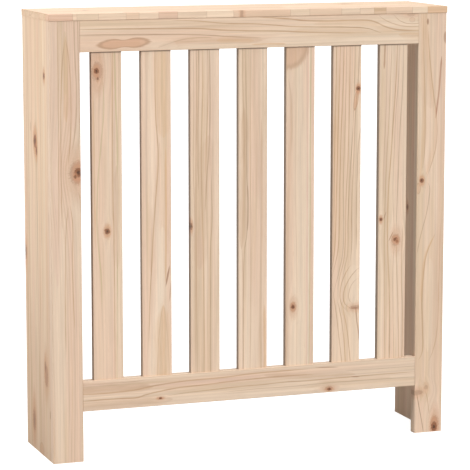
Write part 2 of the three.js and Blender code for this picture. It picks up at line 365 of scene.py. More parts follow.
def object_of(name: str, data: bpy.types.ID) -> Piece:
    """Puts a mesh, a lamp or a camera into the scene, at the origin, under a name."""
    data.name = name
    made = bpy.data.objects.new(name, data)
    bpy.context.scene.collection.objects.link(made)
    return made


def moulded(name: str, shape: bmesh.types.BMesh) -> Piece:
    """Turns a shape in the making into an object."""
    mesh = bpy.data.meshes.new(name)
    shape.to_mesh(mesh)
    shape.free()
    return object_of(name, mesh)


def made_plain(carrier: Piece) -> Piece:
    """Turns an object's modifiers into plain mesh and takes them off."""
    graph = bpy.context.evaluated_depsgraph_get()
    finished = bpy.data.meshes.new_from_object(carrier.evaluated_get(graph), depsgraph=graph)
    carrier.modifiers.clear()
    stale, carrier.data = carrier.data, finished
    finished.name = carrier.name
    bpy.data.meshes.remove(stale)
    return carrier


def grown(
    name: str, tree: Tree, maker: object, points: Sequence[Vector] = (),
    directions: Mapping[str, Sequence[Vector]] | None = None, **values: Value | Material,
) -> Piece:
    """Runs a Geometry Nodes tree on a few points and keeps the result as plain mesh.

    Args:
        name: The piece's name.
        tree: The tree.
        maker: Whose fields the tree's inputs take by their names, where values has none.
        points: Where the tree puts its copies.
        directions: Vectors that the tree reads at each point, by name.
        values: The tree's other inputs by name, an underscore standing for a space.

    Returns:
        The finished piece, at the origin.
    """
    mesh = bpy.data.meshes.new(name)
    mesh.from_pydata([tuple(point) for point in points], [], [])
    for attribute_name, vectors in (directions or {}).items():
        attribute = mesh.attributes.new(attribute_name, "FLOAT_VECTOR", "POINT")
        for item, vector in zip(attribute.data, vectors):
            item.vector = vector
    carrier = object_of(name, mesh)
    modifier = carrier.modifiers.new("shape", "NODES")
    modifier.node_group = tree
    for item in tree.interface.items_tree:
        if item.in_out == "INPUT" and item.socket_type != NodeRecipe.KINDS["geometry"]:
            key = item.name.replace(" ", "_")
            modifier[item.identifier] = values[key] if key in values else getattr(maker, key.lower())
    materials = made_plain(carrier).data.materials
    for slot in reversed(range(len(materials))):
        if materials[slot] is None:
            materials.pop(index=slot)
    return carrier


def shade(piece: Piece) -> Piece:
    """Shades the rounded edges softly and keeps the flat faces flat."""
    piece.data.shade_smooth()
    piece.data.set_sharp_from_angle(angle=SHARP_ANGLE)
    weighted = piece.modifiers.new("flat faces", "WEIGHTED_NORMAL")
    weighted.keep_sharp = True
    return made_plain(piece)


# Pine: how the boards are marked, and how their grain is grown


class Grain(Enum):
    """How a board lies: the axes across its face, through its thickness and along its grain."""

    UPRIGHT = (0, 1, 2)  # stiles and slats
    UPRIGHT_SIDE = (1, 0, 2)  # side panels
    LEVEL = (2, 1, 0)  # rails
    LEVEL_TOP = (1, 2, 0)  # top board


@dataclass(frozen=True)
class KnotLook:
    """How a kind of knot colours the wood and turns its grain."""

    core: float
    rim: float
    heart: float
    halo: float
    push: float
    lift: float


@dataclass(frozen=True)
class StainLook:
    """How a kind of stain colours the wood."""

    tone: str
    cover: float
    softness: float
    edge: float = 0.0


class Mark(Enum):
    """What kind of mark is on a board, and how it looks."""

    LIVE_KNOT = KnotLook(core=0.85, rim=0.12, heart=0.28, halo=0.60, push=0.55, lift=0.006)  # reddish
    DEAD_KNOT = KnotLook(core=0.95, rim=0.45, heart=0.95, halo=0.75, push=0.60, lift=0.004)  # dark
    STREAK = StainLook("resin", cover=0.75, softness=0.35)
    STAIN = StainLook("halo", cover=0.48, softness=0.14, edge=0.50)


@dataclass(frozen=True)
class Feature:
    """One mark on one board, placed in the cabinet's frame.

    Attributes:
        kind: What the mark is.
        across: Where its middle is across the board, in millimetres, as are the next three.
        along: Where its middle is along the grain.
        width: Its size across the board.
        length: Its size along the grain.
        strength: How strongly it colours the wood.
        lean: How far it moves across for each metre along.
        waist: How much narrower its middle is.
    """

    kind: Mark
    across: float
    along: float
    width: float
    length: float
    strength: float = 1.0
    lean: float = 0.0
    waist: float = 0.0

    @property
    def room(self) -> dict[str, Value]:
        """Its place and size in metres, as the node groups take them."""
        centre = (self.across * MM, 0.0, self.along * MM)
        return {"Centre": centre, "Width": self.width * MM, "Length": self.length * MM, "Lean": self.lean}


class Trace(Enum):
    """What runs along a board: its colour's name, how much it covers and how soft its sides are."""

    LATE = ("late", 0.80, 0.60)
    UMBER = ("umber", 0.60, 0.65)
    DARK = ("resin", 0.60, 0.65)
    RED = ("live_knot", 0.60, 0.70)
    ORANGE = ("orange", 0.70, 0.70)
    OLIVE = ("olive", 0.70, 0.70)
    PINK = ("pink", 0.60, 0.70)
    CREAM = ("cream", 0.75, 0.55)


@dataclass(frozen=True)
class Trail:
    """A line or a band that runs along a board through a few points.

    Attributes:
        trace: What it is.
        width: How wide it is, in millimetres.
        strength: How strongly it colours the wood.
        points: Where it passes in the cabinet's frame, across and along the board, in millimetres.
    """

    trace: Trace
    width: float
    strength: float
    points: tuple[tuple[float, float], ...]


@dataclass(frozen=True)
class Growth:
    """How the tree grew in one board.

    Attributes:
        pith_across: Where the tree's heart is across the board, from its middle.
        pith_behind: How far the heart is behind the board's face.
        ring: The width of a year's growth.
        contrast: How dark the late wood is.
        seed: Makes this board's grain its own.
        waver: How far the heart wanders.
    """

    pith_across: float
    pith_behind: float
    ring: float
    contrast: float
    seed: float
    waver: float = 0.02


@dataclass(frozen=True)
class PineTones:
    """The colours of one kind of planed, untreated pine, as linear light."""

    pale: Colour = (0.765, 0.600, 0.450, 1.0)
    rosy: Colour = (0.740, 0.542, 0.402, 1.0)
    honey: Colour = (0.640, 0.470, 0.310, 1.0)
    cream: Colour = (0.810, 0.670, 0.525, 1.0)
    pink: Colour = (0.700, 0.465, 0.360, 1.0)
    orange: Colour = (0.640, 0.400, 0.220, 1.0)
    olive: Colour = (0.540, 0.420, 0.240, 1.0)
    late: Colour = (0.520, 0.330, 0.200, 1.0)
    umber: Colour = (0.420, 0.265, 0.165, 1.0)
    live_knot: Colour = (0.320, 0.118, 0.050, 1.0)
    dead_knot: Colour = (0.058, 0.021, 0.009, 1.0)
    halo: Colour = (0.560, 0.285, 0.155, 1.0)
    resin: Colour = (0.270, 0.120, 0.058, 1.0)
    end_grain: Colour = (0.560, 0.390, 0.250, 1.0)
    # sawn sides, also used as painted shade between the slats and under the top rail
    sawn: Colour = (0.200, 0.140, 0.105, 1.0)
    # painted shade for a board's foot
    dusty: Colour = (0.430, 0.285, 0.170, 1.0)


@dataclass(frozen=True)
class Staves:
    """How a wide board is glued up from narrow staves.

    Attributes:
        width: The width of a stave.
        edge: Where the edge of the first stave is, in the cabinet's frame.
        piece_length: The usual length between finger joints, or 0 for staves in one length.
        front: Where each piece of the first stave begins, and the name of its colour.
        tone: How much the staves differ in colour.
    """

    width: float
    edge: float
    piece_length: float = 0.0
    front: tuple[tuple[float, str], ...] = ()
    tone: float = 1.0


@dataclass(frozen=True)
class Board:
    """One board's timber.

    Attributes:
        grain: How it lies.
        growth: How it grew.
        features: Its knots and stains.
        trails: The lines and bands along it.
        staves: How it is glued up, if it is.
        tint: What its colour is multiplied with.
        sawn: How much darker its narrow sides are than its planed face, partly as sawn wood and partly as
            painted shade.
        dusty: How much darker its foot is, as painted shade.
    """

    grain: Grain
    growth: Growth
    features: tuple[Feature, ...] = ()
    trails: tuple[Trail, ...] = ()
    staves: Staves | None = None
    tint: tuple[float, float, float] = (1.0, 1.0, 1.0)
    sawn: float = 0.0
    dusty: float = 0.0


class PineShop:
    """Builds the node groups that all the timber shares, and a material for each board."""

    KNOT_WOBBLE = 0.42  # how uneven a knot's outline is
    KNOT_GRAIN = 330.0  # how fine that unevenness is
    KNOT_CORE = (0.80, 1.15)  # where a knot's parts fade, from 0 in its middle to 1 at its outline
    KNOT_RIM = (0.58, 0.90)
    KNOT_HEART = (0.10, 0.85)
    KNOT_HALO = (0.7, 2.0)
    KNOT_RINGS = 16.0  # turns of a knot's rings over its radius
    HALO_LENGTH = 0.62  # the scale of a knot's halo along the grain: less than 1 makes it longer
    BEND_LENGTH = 0.7  # the same for the grain that bends round a knot
    BEND_REACH = 2.4  # how far that grain bends, in knot sizes
    STAIN_FRAY = (420.0, 420.0, 45.0)  # how fine a stain's ragged outline is along each axis
    STAIN_RIM = (0.92, 0.20)  # where a stain's dark rim is, 1 at its outline, and its half width
    WAIST_FALL = 9.0  # how soon a stain widens again beyond its waist
    TRAIL_FRAY = (330.0, 7.1, 30.0)  # how fine a trail's ragged sides are along each axis
    TRAIL_TAPER = 0.16  # the share of a trail's length in which it thins out
    TRAIL_TIP = 0.02  # the share in which it fades out
    TRAIL_THINNEST = 0.03  # how thin it gets, as a share of its width
    COURSE_ROOM = 0.020  # room on both sides of a trail's course, for its bends
    RING_DRIFT = (1.6, 0.37)  # how fast the tree's heart wanders along a board and with the seed
    RING_RIPPLE = (28.0, 3.2)  # how fine the rings ripple across and along the grain
    RIPPLE = 1.5  # how far they do, in rings
    LATE_RISE = (0.25, 0.88)  # the part of a year in which the late wood darkens
    LATE_END = (0.90, 1.0)  # the part in which it ends
    POOREST_YEAR = 0.15  # how dark the late wood is in the poorest year
    ARRIS_GRAIN = 90.0  # how fine the wear on an edge is
    ARRIS_REACH = 0.0035  # how far it goes
    WEAR_RANGE = (0.3, 1.4)  # its least share of that reach, and how much the rough places add
    LOG_LENGTH = 3.0  # the room in a log from which a stave may come: along it,
    LOG_PLACE = (0.12, 0.05)  # and across it and into it
    GLUE_LINE = (0.00005, 0.00045)  # from the middle of a glue line to its edge
    END_LINE = (0.00005, 0.0004)  # the same for a finger joint, seen from the face
    FRONT_LINE = (0.0002, 0.0006)  # the same, seen on the front edge
    BROAD = 5.0  # trails wider than this, in millimetres, are bands, softer and fainter than lines
    BROAD_COVER = 0.52
    BROAD_SOFTNESS = 0.95
    PAINTED_FOOT_SHADE_HEIGHT = 0.46  # how far up the painted shade at a board's foot reaches
    JOINT_LINE = 0.0036  # how far the painted shadow under the top rail reaches down a slat
    FINGER = 0.0019  # half the pitch of a finger joint
    FINGER_SLOPE = 4.8  # how steep a finger's flanks are
    NO_JOINT = 0.01  # staves with pieces shorter than this are in one length
    SIDEWAYS = (0.75, 0.95)  # how far a face has to turn to be a side or an end
    ROSY_DRIFT = (0.38, 0.62)  # the part of the fibres' drift in which the wood turns rosy
    HONEY_DRIFT = (0.48, 0.68)  # and the part in which it turns to honey
    HONEY_COVER = 0.65  # how far each of these colours the wood
    CANAL_COVER = 0.22
    STAVE_COVER = 0.5
    RING_COVER = 0.30
    LINE_COVER = 0.30
    END_COVER = 0.22
    # how dark the painted shadow under the top rail is
    JOINT_COVER = 0.85
    WEAR_COVER = 0.12
    BAND_SWING, FIBRE_SWING, STAVE_SWING = 0.40, 0.24, 0.12  # how far each swings its brightness
    LATE_RELIEF, FIBRE_RELIEF, CANAL_RELIEF, LINE_RELIEF = 0.55, 0.35, -0.6, -1.2
    LATE_GLOSS, FIBRE_GLOSS, END_GLOSS = -0.10, 0.12, 0.12  # what each adds to the roughness
    ROUGHNESS = 0.60
    BUMP, BUMP_DEPTH = 0.35, 0.0003
    SHINE = 0.35

    def __init__(self) -> None:
        """Builds the shared node groups."""
        self.knot = self._knot_group()
        self.stain = self._stain_group()
        self.trail = self._trail_group()
        self.rings = self._ring_group()
        self.fibre = self._fibre_group()
        self.arris = self._arris_group()
        self.staves = self._stave_group()

    @staticmethod
    def _off_middle(
        w: Wiring, place: Socket, centre: Socket, width: Socket, length: Socket, lean: Socket
    ) -> tuple[Socket, ...]:
        """How far a place is aside of a leaning mark, the mark's half width, and how far along it is.

        The last is in the mark's half lengths, from its middle.
        """
        across, _, along = w.parts(place)
        centre_across, _, centre_along = w.parts(centre)
        along_off = w.less(along, centre_along)
        across_off = w.less(w.less(across, centre_across), w.times(lean, along_off))
        return across_off, w.times(width, 0.5), w.over(along_off, w.times(length, 0.5))

    def _knot_group(self) -> Tree:
        """Gives one knot's masks, and how far it turns the grain aside and lifts the rings."""
        recipe = NodeRecipe("Knot in the grain")
        w = recipe.wiring
        place, centre, width, length, lean, push, lift = recipe.takes(
            vector="Place Centre", value="Width Length Lean Push Lift"
        )
        across_off, half_width, half_lengths = self._off_middle(w, place, centre, width, length, lean)
        half_widths = w.over(across_off, half_width)
        flaw = w.noise(w.scaled(place, self.KNOT_GRAIN), roughness=0.65)
        wobble = w.swing(flaw, 2 * self.KNOT_WOBBLE)
        reach = w.add(w.length(half_widths, half_lengths), wobble)
        core = w.fade(reach, *self.KNOT_CORE)
        rim = w.times(w.rise(reach, *self.KNOT_RIM), core)
        heart = w.fade(reach, *self.KNOT_HEART)
        flame = w.add(w.length(half_widths, w.times(half_lengths, self.HALO_LENGTH)), wobble)
        halo = w.times(w.fade(flame, *self.KNOT_HALO), w.less(1.0, core))
        rings = w.add(w.times(w.math("SINE", w.times(reach, self.KNOT_RINGS)), 0.5), 0.5)
        far = w.over(w.length(half_widths, w.times(half_lengths, self.BEND_LENGTH)), self.BEND_REACH)
        pull = w.math("EXPONENT", w.times(far, far, -1.0))
        shift = w.vector(w.times(across_off, pull, push, -1.0), w.times(pull, lift))
        return recipe.gives(Shift=shift, Core=core, Rim=rim, Heart=heart, Halo=halo, Rings=rings)

    def _stain_group(self) -> Tree:
        """A soft patch or a narrow streak, ragged along the grain."""
        recipe = NodeRecipe("Stain along the grain")
        w = recipe.wiring
        place, centre, width, length, lean, waist, soft = recipe.takes(
            vector="Place Centre", value="Width Length Lean Waist Softness"
        )
        across_off, half_width, half_lengths = self._off_middle(w, place, centre, width, length, lean)
        fray = w.swing(w.noise(w.vector_math("MULTIPLY", place, self.STAIN_FRAY)), soft, 1.6)
        middle = w.math("EXPONENT", w.times(half_lengths, half_lengths, -self.WAIST_FALL))
        half_widths = w.over(across_off, w.times(half_width, w.less(1.0, w.times(waist, middle))))
        reach = w.add(w.length(half_widths, half_lengths), fray)
        mask = w.fade(reach, w.less(1.0, soft), w.add(1.0, soft))
        rim, half_rim = self.STAIN_RIM
        edge = w.fade(w.math("ABSOLUTE", w.less(reach, rim)), 0.0, half_rim)
        return recipe.gives(Mask=mask, Edge=edge)

    def _trail_group(self) -> Tree:
        """A line or a band that follows its course along the board and thins out at its ends."""
        recipe = NodeRecipe("Trail along the grain")
        w = recipe.wiring
        place, course, share, width, soft, seed = recipe.takes(
            vector="Place", value="Course Share Width Softness Seed"
        )
        across, _, along = w.parts(place)
        ragged = w.vector_math("MULTIPLY", w.vector(across, seed, along), self.TRAIL_FRAY)
        frayed, faded, _ = w.split(w.noise(ragged, output="Color"))
        from_end = w.math("MINIMUM", share, w.less(1.0, share))
        thinned = w.math("SQRT", w.rise(from_end, 0.0, self.TRAIL_TAPER))
        half = w.times(width, 0.5, w.math("MAXIMUM", thinned, self.TRAIL_THINNEST))
        off = w.over(w.math("ABSOLUTE", w.less(across, course)), half)
        reach = w.add(off, w.swing(frayed, soft, 1.5))
        body = w.fade(reach, w.less(1.0, soft), w.add(1.0, soft))
        patchy = w.add(w.times(faded, 0.9), 0.55)
        return recipe.gives(Mask=w.times(body, patchy, w.rise(from_end, 0.0, self.TRAIL_TIP)))

    def _ring_group(self) -> Tree:
        """A year's rings round a heart that wanders along the board."""
        recipe = NodeRecipe("Growth rings")
        w = recipe.wiring
        place, pith, ring, waver, seed = recipe.takes(vector="Place Pith", value="Ring_Width Waver Seed")
        across, through, along = w.parts(place)
        wander, seed_step = self.RING_DRIFT
        drift_at = w.vector(w.times(along, wander), seed, w.times(seed, seed_step))
        aside, back, _ = w.split(w.noise(drift_at, detail=1.0, output="Color"))
        pith_across, pith_through, _ = w.parts(pith)
        spoke = w.length(
            w.less(across, w.add(pith_across, w.swing(aside, waver))),
            w.less(through, w.add(pith_through, w.swing(back, waver))),
        )
        fine, long = self.RING_RIPPLE
        shift = w.vector(w.add(w.times(across, fine), seed), w.times(through, fine), w.times(along, long))
        years = w.add(w.over(spoke, ring), w.swing(w.noise(shift, detail=1.5), self.RIPPLE))
        season = w.math("FRACT", years)
        good_year = w.first(
            "ShaderNodeTexWhiteNoise", noise_dimensions="1D", W=w.add(w.math("FLOOR", years), seed)
        )
        dark = w.add(w.times(good_year, good_year, 1.0 - self.POOREST_YEAR), self.POOREST_YEAR)
        late = w.times(w.rise(season, *self.LATE_RISE), w.fade(season, *self.LATE_END), dark)
        return recipe.gives(Late=late)

    def _fibre_group(self) -> Tree:
        """Fine fibres, resin canals and the slow drift of tone along a board."""
        recipe = NodeRecipe("Pine fibres")
        w = recipe.wiring
        place, seed = recipe.takes(vector="Place", value="Seed")
        across, through, along = w.parts(place)

        def stretched(fine: float, long: float, detail: float = 2.0, roughness: float = 0.5) -> Socket:
            """Noise that is fine across the grain and long along it."""
            at = w.vector(w.add(w.times(across, fine), seed), w.times(through, fine), w.times(along, long))
            return w.noise(at, detail, roughness)

        return recipe.gives(
            Fibre=stretched(650.0, 16.0, 3.0, 0.6), Band=stretched(150.0, 2.6, 3.0, 0.6),
            Honey=stretched(72.0, 2.0), Drift=stretched(26.0, 1.8, 1.5),
            Canals=w.rise(stretched(1500.0, 55.0, 1.0), 0.66, 0.74),
        )

    def _arris_group(self) -> Tree:
        """How near a point is to an edge of its board, worn unevenly."""
        recipe = NodeRecipe("Worn arris")
        w = recipe.wiring
        place, centre, half, reach = recipe.takes(vector="Place Centre Half_Size", value="Reach")
        off = w.vector_math("ABSOLUTE", w.vector_math("SUBTRACT", place, centre))
        gap_x, gap_y, gap_z = w.parts(w.vector_math("SUBTRACT", half, off))
        nearest = w.math("MINIMUM", w.math("MINIMUM", gap_x, gap_y), gap_z)
        farthest = w.math("MAXIMUM", w.math("MAXIMUM", gap_x, gap_y), gap_z)
        second = w.less(w.less(w.add(gap_x, gap_y, gap_z), nearest), farthest)
        rough = w.noise(w.scaled(place, self.ARRIS_GRAIN), detail=3.0)
        least, more = self.WEAR_RANGE
        worn = w.times(reach, w.add(w.times(rough, more), least))
        return recipe.gives(Wear=w.fade(second, 0.0, worn))

    def _stave_group(self) -> Tree:
        """Splits a wide board into glued staves with finger joints, each with its own timber."""
        recipe = NodeRecipe("Glued staves")
        w = recipe.wiring
        place, width, edge, piece_length, front_piece, front_joint, seed = recipe.takes(
            vector="Place", value="Width Edge Piece_Length Front_Piece Front_Joint Seed"
        )
        across, through, along = w.parts(place)
        staves = w.over(w.less(across, edge), width)
        number = w.math("FLOOR", staves)
        from_line = w.times(w.math("PINGPONG", staves, 0.5), width)
        own = w.first("ShaderNodeTexWhiteNoise", noise_dimensions="1D", W=w.add(number, seed))
        finger = w.less(w.math("PINGPONG", across, self.FINGER), self.FINGER / 2)
        run = w.add(along, w.times(own, self.LOG_LENGTH), w.times(finger, self.FINGER_SLOPE))
        pieces = w.over(run, w.math("MAXIMUM", piece_length, self.NO_JOINT))
        joined = w.math("GREATER_THAN", piece_length, self.NO_JOINT)
        front = w.times(w.math("LESS_THAN", number, 0.5), joined)
        behind = w.less(1.0, front)
        piece = w.add(w.times(w.math("FLOOR", pieces), joined, behind), w.times(front_piece, front, 7.0))
        from_joint = w.times(w.math("PINGPONG", pieces, 0.5), piece_length)
        log = w.node(
            "ShaderNodeTexWhiteNoise", noise_dimensions="2D", Vector=w.vector(w.add(number, seed), piece)
        ).outputs
        aside, down, ahead = w.split(log["Color"])
        wide, deep = self.LOG_PLACE
        moved = w.vector(
            w.add(across, w.swing(aside, wide)), w.add(through, w.swing(down, deep)),
            w.add(along, w.times(ahead, self.LOG_LENGTH)),
        )
        joint = w.times(w.fade(from_joint, *self.END_LINE), joined, behind)
        joints = w.add(joint, w.times(front_joint, front))
        line = w.math("MAXIMUM", w.fade(from_line, *self.GLUE_LINE), joints)
        return recipe.gives(Place=moved, Tone=log["Value"], Line=line, Front=front)

    def _course(self, w: Wiring, along: Socket, run: Trail) -> tuple[Socket, Socket]:
        """Where a trail is across its board, and which share of the trail lies behind a place."""
        start, end = (run.points[which][1] * MM for which in (0, -1))
        left, right = (
            edge(point[0] * MM for point in run.points) + room
            for edge, room in ((min, -self.COURSE_ROOM), (max, self.COURSE_ROOM))
        )
        share = w.over(w.less(along, start), end - start)
        bend = w.node("ShaderNodeFloatCurve", Value=share)
        curve = bend.mapping.curves[0].points
        places = [
            ((passes * MM - start) / (end - start), (side * MM - left) / (right - left))
            for side, passes in run.points
        ]
        curve[0].location, curve[-1].location = places[0], places[-1]
        for place in places[1:-1]:
            curve.new(*place)
        bend.mapping.update()
        return w.add(w.times(bend.outputs[0], right - left), left), share

    def _with_trails(
        self, w: Wiring, wood: Socket, board: Board, place: Socket, along: Socket, tones: PineTones
    ) -> Socket:
        """Draws a board's trails on its wood."""
        for number, run in enumerate(board.trails):
            tone, cover, softness = run.trace.value
            if run.width > self.BROAD:
                cover, softness = cover * self.BROAD_COVER, self.BROAD_SOFTNESS
            course, share = self._course(w, along, run)
            mask = w.group(
                self.trail, Place=place, Course=course, Share=share, Width=run.width * MM,
                Softness=softness, Seed=board.growth.seed + number,
            )["Mask"]
            wood = w.mix(w.times(mask, cover * run.strength), wood, getattr(tones, tone))
        return wood

    def _with_stains(
        self, w: Wiring, wood: Socket, board: Board, place: Socket, on_face: Socket, tones: PineTones
    ) -> Socket:
        """Lays a board's stains and streaks on the faces of its wood."""
        for patch in board.features:
            look = patch.kind.value
            if isinstance(look, StainLook):
                stain = w.group(
                    self.stain, Place=place, Waist=patch.waist, Softness=look.softness, **patch.room
                )
                cover = w.times(stain["Mask"], on_face, look.cover * patch.strength)
                wood = w.mix(cover, wood, getattr(tones, look.tone))
                if look.edge:
                    edge = w.times(stain["Edge"], on_face, look.edge * patch.strength)
                    wood = w.mix(edge, wood, tones.umber)
        return wood

    def _with_knots(
        self, w: Wiring, wood: Socket, looks: Iterable[tuple[Feature, Mapping[str, Socket]]],
        tones: PineTones,
    ) -> Socket:
        """Sets knots in the wood, each with its masks."""
        for knot, masks in looks:
            look, strength = knot.kind.value, min(knot.strength, 1.0)
            wood = w.mix(w.times(masks["Halo"], look.halo * strength), wood, tones.halo)
            heart = w.mix(w.times(masks["Rings"], self.RING_COVER), tones.live_knot, tones.halo)
            heart = w.mix(w.times(masks["Rim"], look.rim), heart, tones.dead_knot)
            heart = w.mix(w.times(masks["Heart"], look.heart), heart, tones.dead_knot)
            wood = w.mix(w.times(masks["Core"], look.core * strength), wood, heart)
        return wood

    def material(
        self, name: str, board: Board, box: Box, tones: PineTones, shoulder: float = 0.0
    ) -> Material:
        """Makes one board's material.

        Args:
            name: The board's name.
            board: Its timber.
            box: Its room in the cabinet, for the wear along its edges.
            tones: Its colours.
            shoulder: How high up it goes into another board, or 0 where it doesn't. A painted shadow line
                is drawn just below it.

        Returns:
            The finished material.
        """
        w = Surface(f"{name} pine", tones.pale)
        coordinates = w.node("ShaderNodeTexCoord").outputs
        row_parts = w.parts(coordinates["Object"])
        across, through, along = board.grain.value
        place = w.vector(*(row_parts[axis] for axis in board.grain.value))
        growth, staves = board.growth, board.staves
        bent = place
        if staves:
            joints = [start for start, _ in staves.front[1:]]
            passed = [w.math("GREATER_THAN", row_parts[along], joint) for joint in joints]
            near = [
                w.fade(w.math("ABSOLUTE", w.less(row_parts[along], joint)), *self.FRONT_LINE)
                for joint in joints
            ]
            stave = w.group(
                self.staves, Place=place, Width=staves.width, Edge=staves.edge,
                Piece_Length=staves.piece_length, Front_Piece=w.add(0.0, *passed),
                Front_Joint=w.add(0.0, *near), Seed=growth.seed,
            )
            bent = stave["Place"]

        looks: list[tuple[Feature, Mapping[str, Socket]]] = []
        for knot in board.features:
            look = knot.kind.value
            if isinstance(look, KnotLook):
                masks = w.group(
                    self.knot, Place=place, Push=look.push, Lift=look.lift * knot.strength, **knot.room
                )
                bent = w.vector_math("ADD", bent, masks["Shift"])
                looks.append((knot, masks))

        pith = (box.centre[across] + growth.pith_across, box.low[through] + growth.pith_behind, 0.0)
        late = w.group(
            self.rings, Place=bent, Pith=pith, Ring_Width=growth.ring, Waver=growth.waver, Seed=growth.seed
        )["Late"]
        fibre = w.group(self.fibre, Place=bent, Seed=growth.seed)

        wood = w.mix(w.rise(fibre["Drift"], *self.ROSY_DRIFT), tones.pale, tones.rosy)
        honey = w.rise(fibre["Honey"], *self.HONEY_DRIFT)
        wood = w.mix(w.times(honey, self.HONEY_COVER), wood, tones.honey)
        wood = w.mix(w.times(late, growth.contrast), wood, tones.late)
        wood = self._with_trails(w, wood, board, place, row_parts[along], tones)
        if staves and staves.front:
            first, *others = (getattr(tones, tone) for _, tone in staves.front)
            front = w.mix(0.0, first, tones.pale)
            for step, tone in zip(passed, others):
                front = w.mix(step, front, tone)
            wood = w.mix(w.times(stave["Front"], self.STAVE_COVER), wood, front)
        band = w.add(
            w.swing(fibre["Band"], self.BAND_SWING), w.swing(fibre["Fibre"], self.FIBRE_SWING), 1.0
        )
        if staves:
            band = w.add(band, w.swing(stave["Tone"], self.STAVE_SWING * staves.tone))
        wood = w.mix(1.0, wood, w.first("ShaderNodeCombineColor", band, band, band), "MULTIPLY")
        wood = w.mix(w.times(fibre["Canals"], self.CANAL_COVER), wood, tones.late)

        facing = w.parts(coordinates["Normal"])
        end, side = (w.rise(w.math("ABSOLUTE", facing[axis]), *self.SIDEWAYS) for axis in (along, across))
        wood = self._with_stains(w, wood, board, place, w.less(1.0, side), tones)
        wood = self._with_knots(w, wood, looks, tones)

        relief = w.add(
            w.times(late, self.LATE_RELIEF), w.times(fibre["Fibre"], self.FIBRE_RELIEF),
            w.times(fibre["Canals"], self.CANAL_RELIEF),
        )
        if staves:
            wood = w.mix(w.times(stave["Line"], self.LINE_COVER), wood, tones.resin)
            relief = w.add(relief, w.times(stave["Line"], self.LINE_RELIEF))
        wood = w.mix(w.times(end, self.END_COVER), wood, tones.end_grain)
        # Narrow sides darker: partly sawn wood, partly painted shade between the slats.
        wood = w.mix(w.times(side, board.sawn), wood, tones.sawn)
        # Painted shade: the board darkens towards its foot.
        foot = w.fade(row_parts[2], 0.0, self.PAINTED_FOOT_SHADE_HEIGHT)
        wood = w.mix(w.times(foot, board.dusty), wood, tones.dusty)
        # Painted shadow under the top rail, just below the slat's top shoulder.
        if shoulder:
            joint = w.rise(row_parts[2], shoulder - self.JOINT_LINE, shoulder)
            wood = w.mix(w.times(joint, self.JOINT_COVER), wood, tones.sawn)
        wear = w.group(
            self.arris, Place=coordinates["Object"], Centre=tuple(box.centre),
            Half_Size=tuple(box.size / 2), Reach=self.ARRIS_REACH,
        )["Wear"]
        wood = w.mix(w.times(wear, self.WEAR_COVER), wood, tones.late)
        wood = w.mix(1.0, wood, (*board.tint, 1.0), "MULTIPLY")

        gloss = w.add(
            w.times(late, self.LATE_GLOSS), w.times(fibre["Fibre"], self.FIBRE_GLOSS),
            w.times(end, self.END_GLOSS), self.ROUGHNESS,
        )
        return w.finished(
            Base_Color=wood, Roughness=gloss, Normal=w.bump(relief, self.BUMP, self.BUMP_DEPTH),
            Specular_IOR_Level=self.SHINE,
        )


# The timber of each board

LIVE_KNOT, DEAD_KNOT, STREAK, STAIN = Mark
LATE, UMBER, DARK, RED, ORANGE, OLIVE, PINK, CREAM = Trace


def timber(grain: Grain, growth: Growth, *marks: Feature | Trail, **rest: object) -> Board:
    """Writes down one board's timber.

    Args:
        grain: How it lies.
        growth: How it grew.
        marks: Its knots and stains, and its trails, each kind in its order.
        rest: The board's other values.

    Returns:
        The board.
    """
    features = tuple(mark for mark in marks if isinstance(mark, Feature))
    trails = tuple(mark for mark in marks if isinstance(mark, Trail))
    return Board(grain, growth, features, trails, **rest)


def trail(trace: Trace, width: float, strength: float, *points: tuple[float, float]) -> Trail:
    """Writes one trail in a line, in millimetres."""
    return Trail(trace, width, strength, tuple(sorted(points, key=lambda point: point[1])))


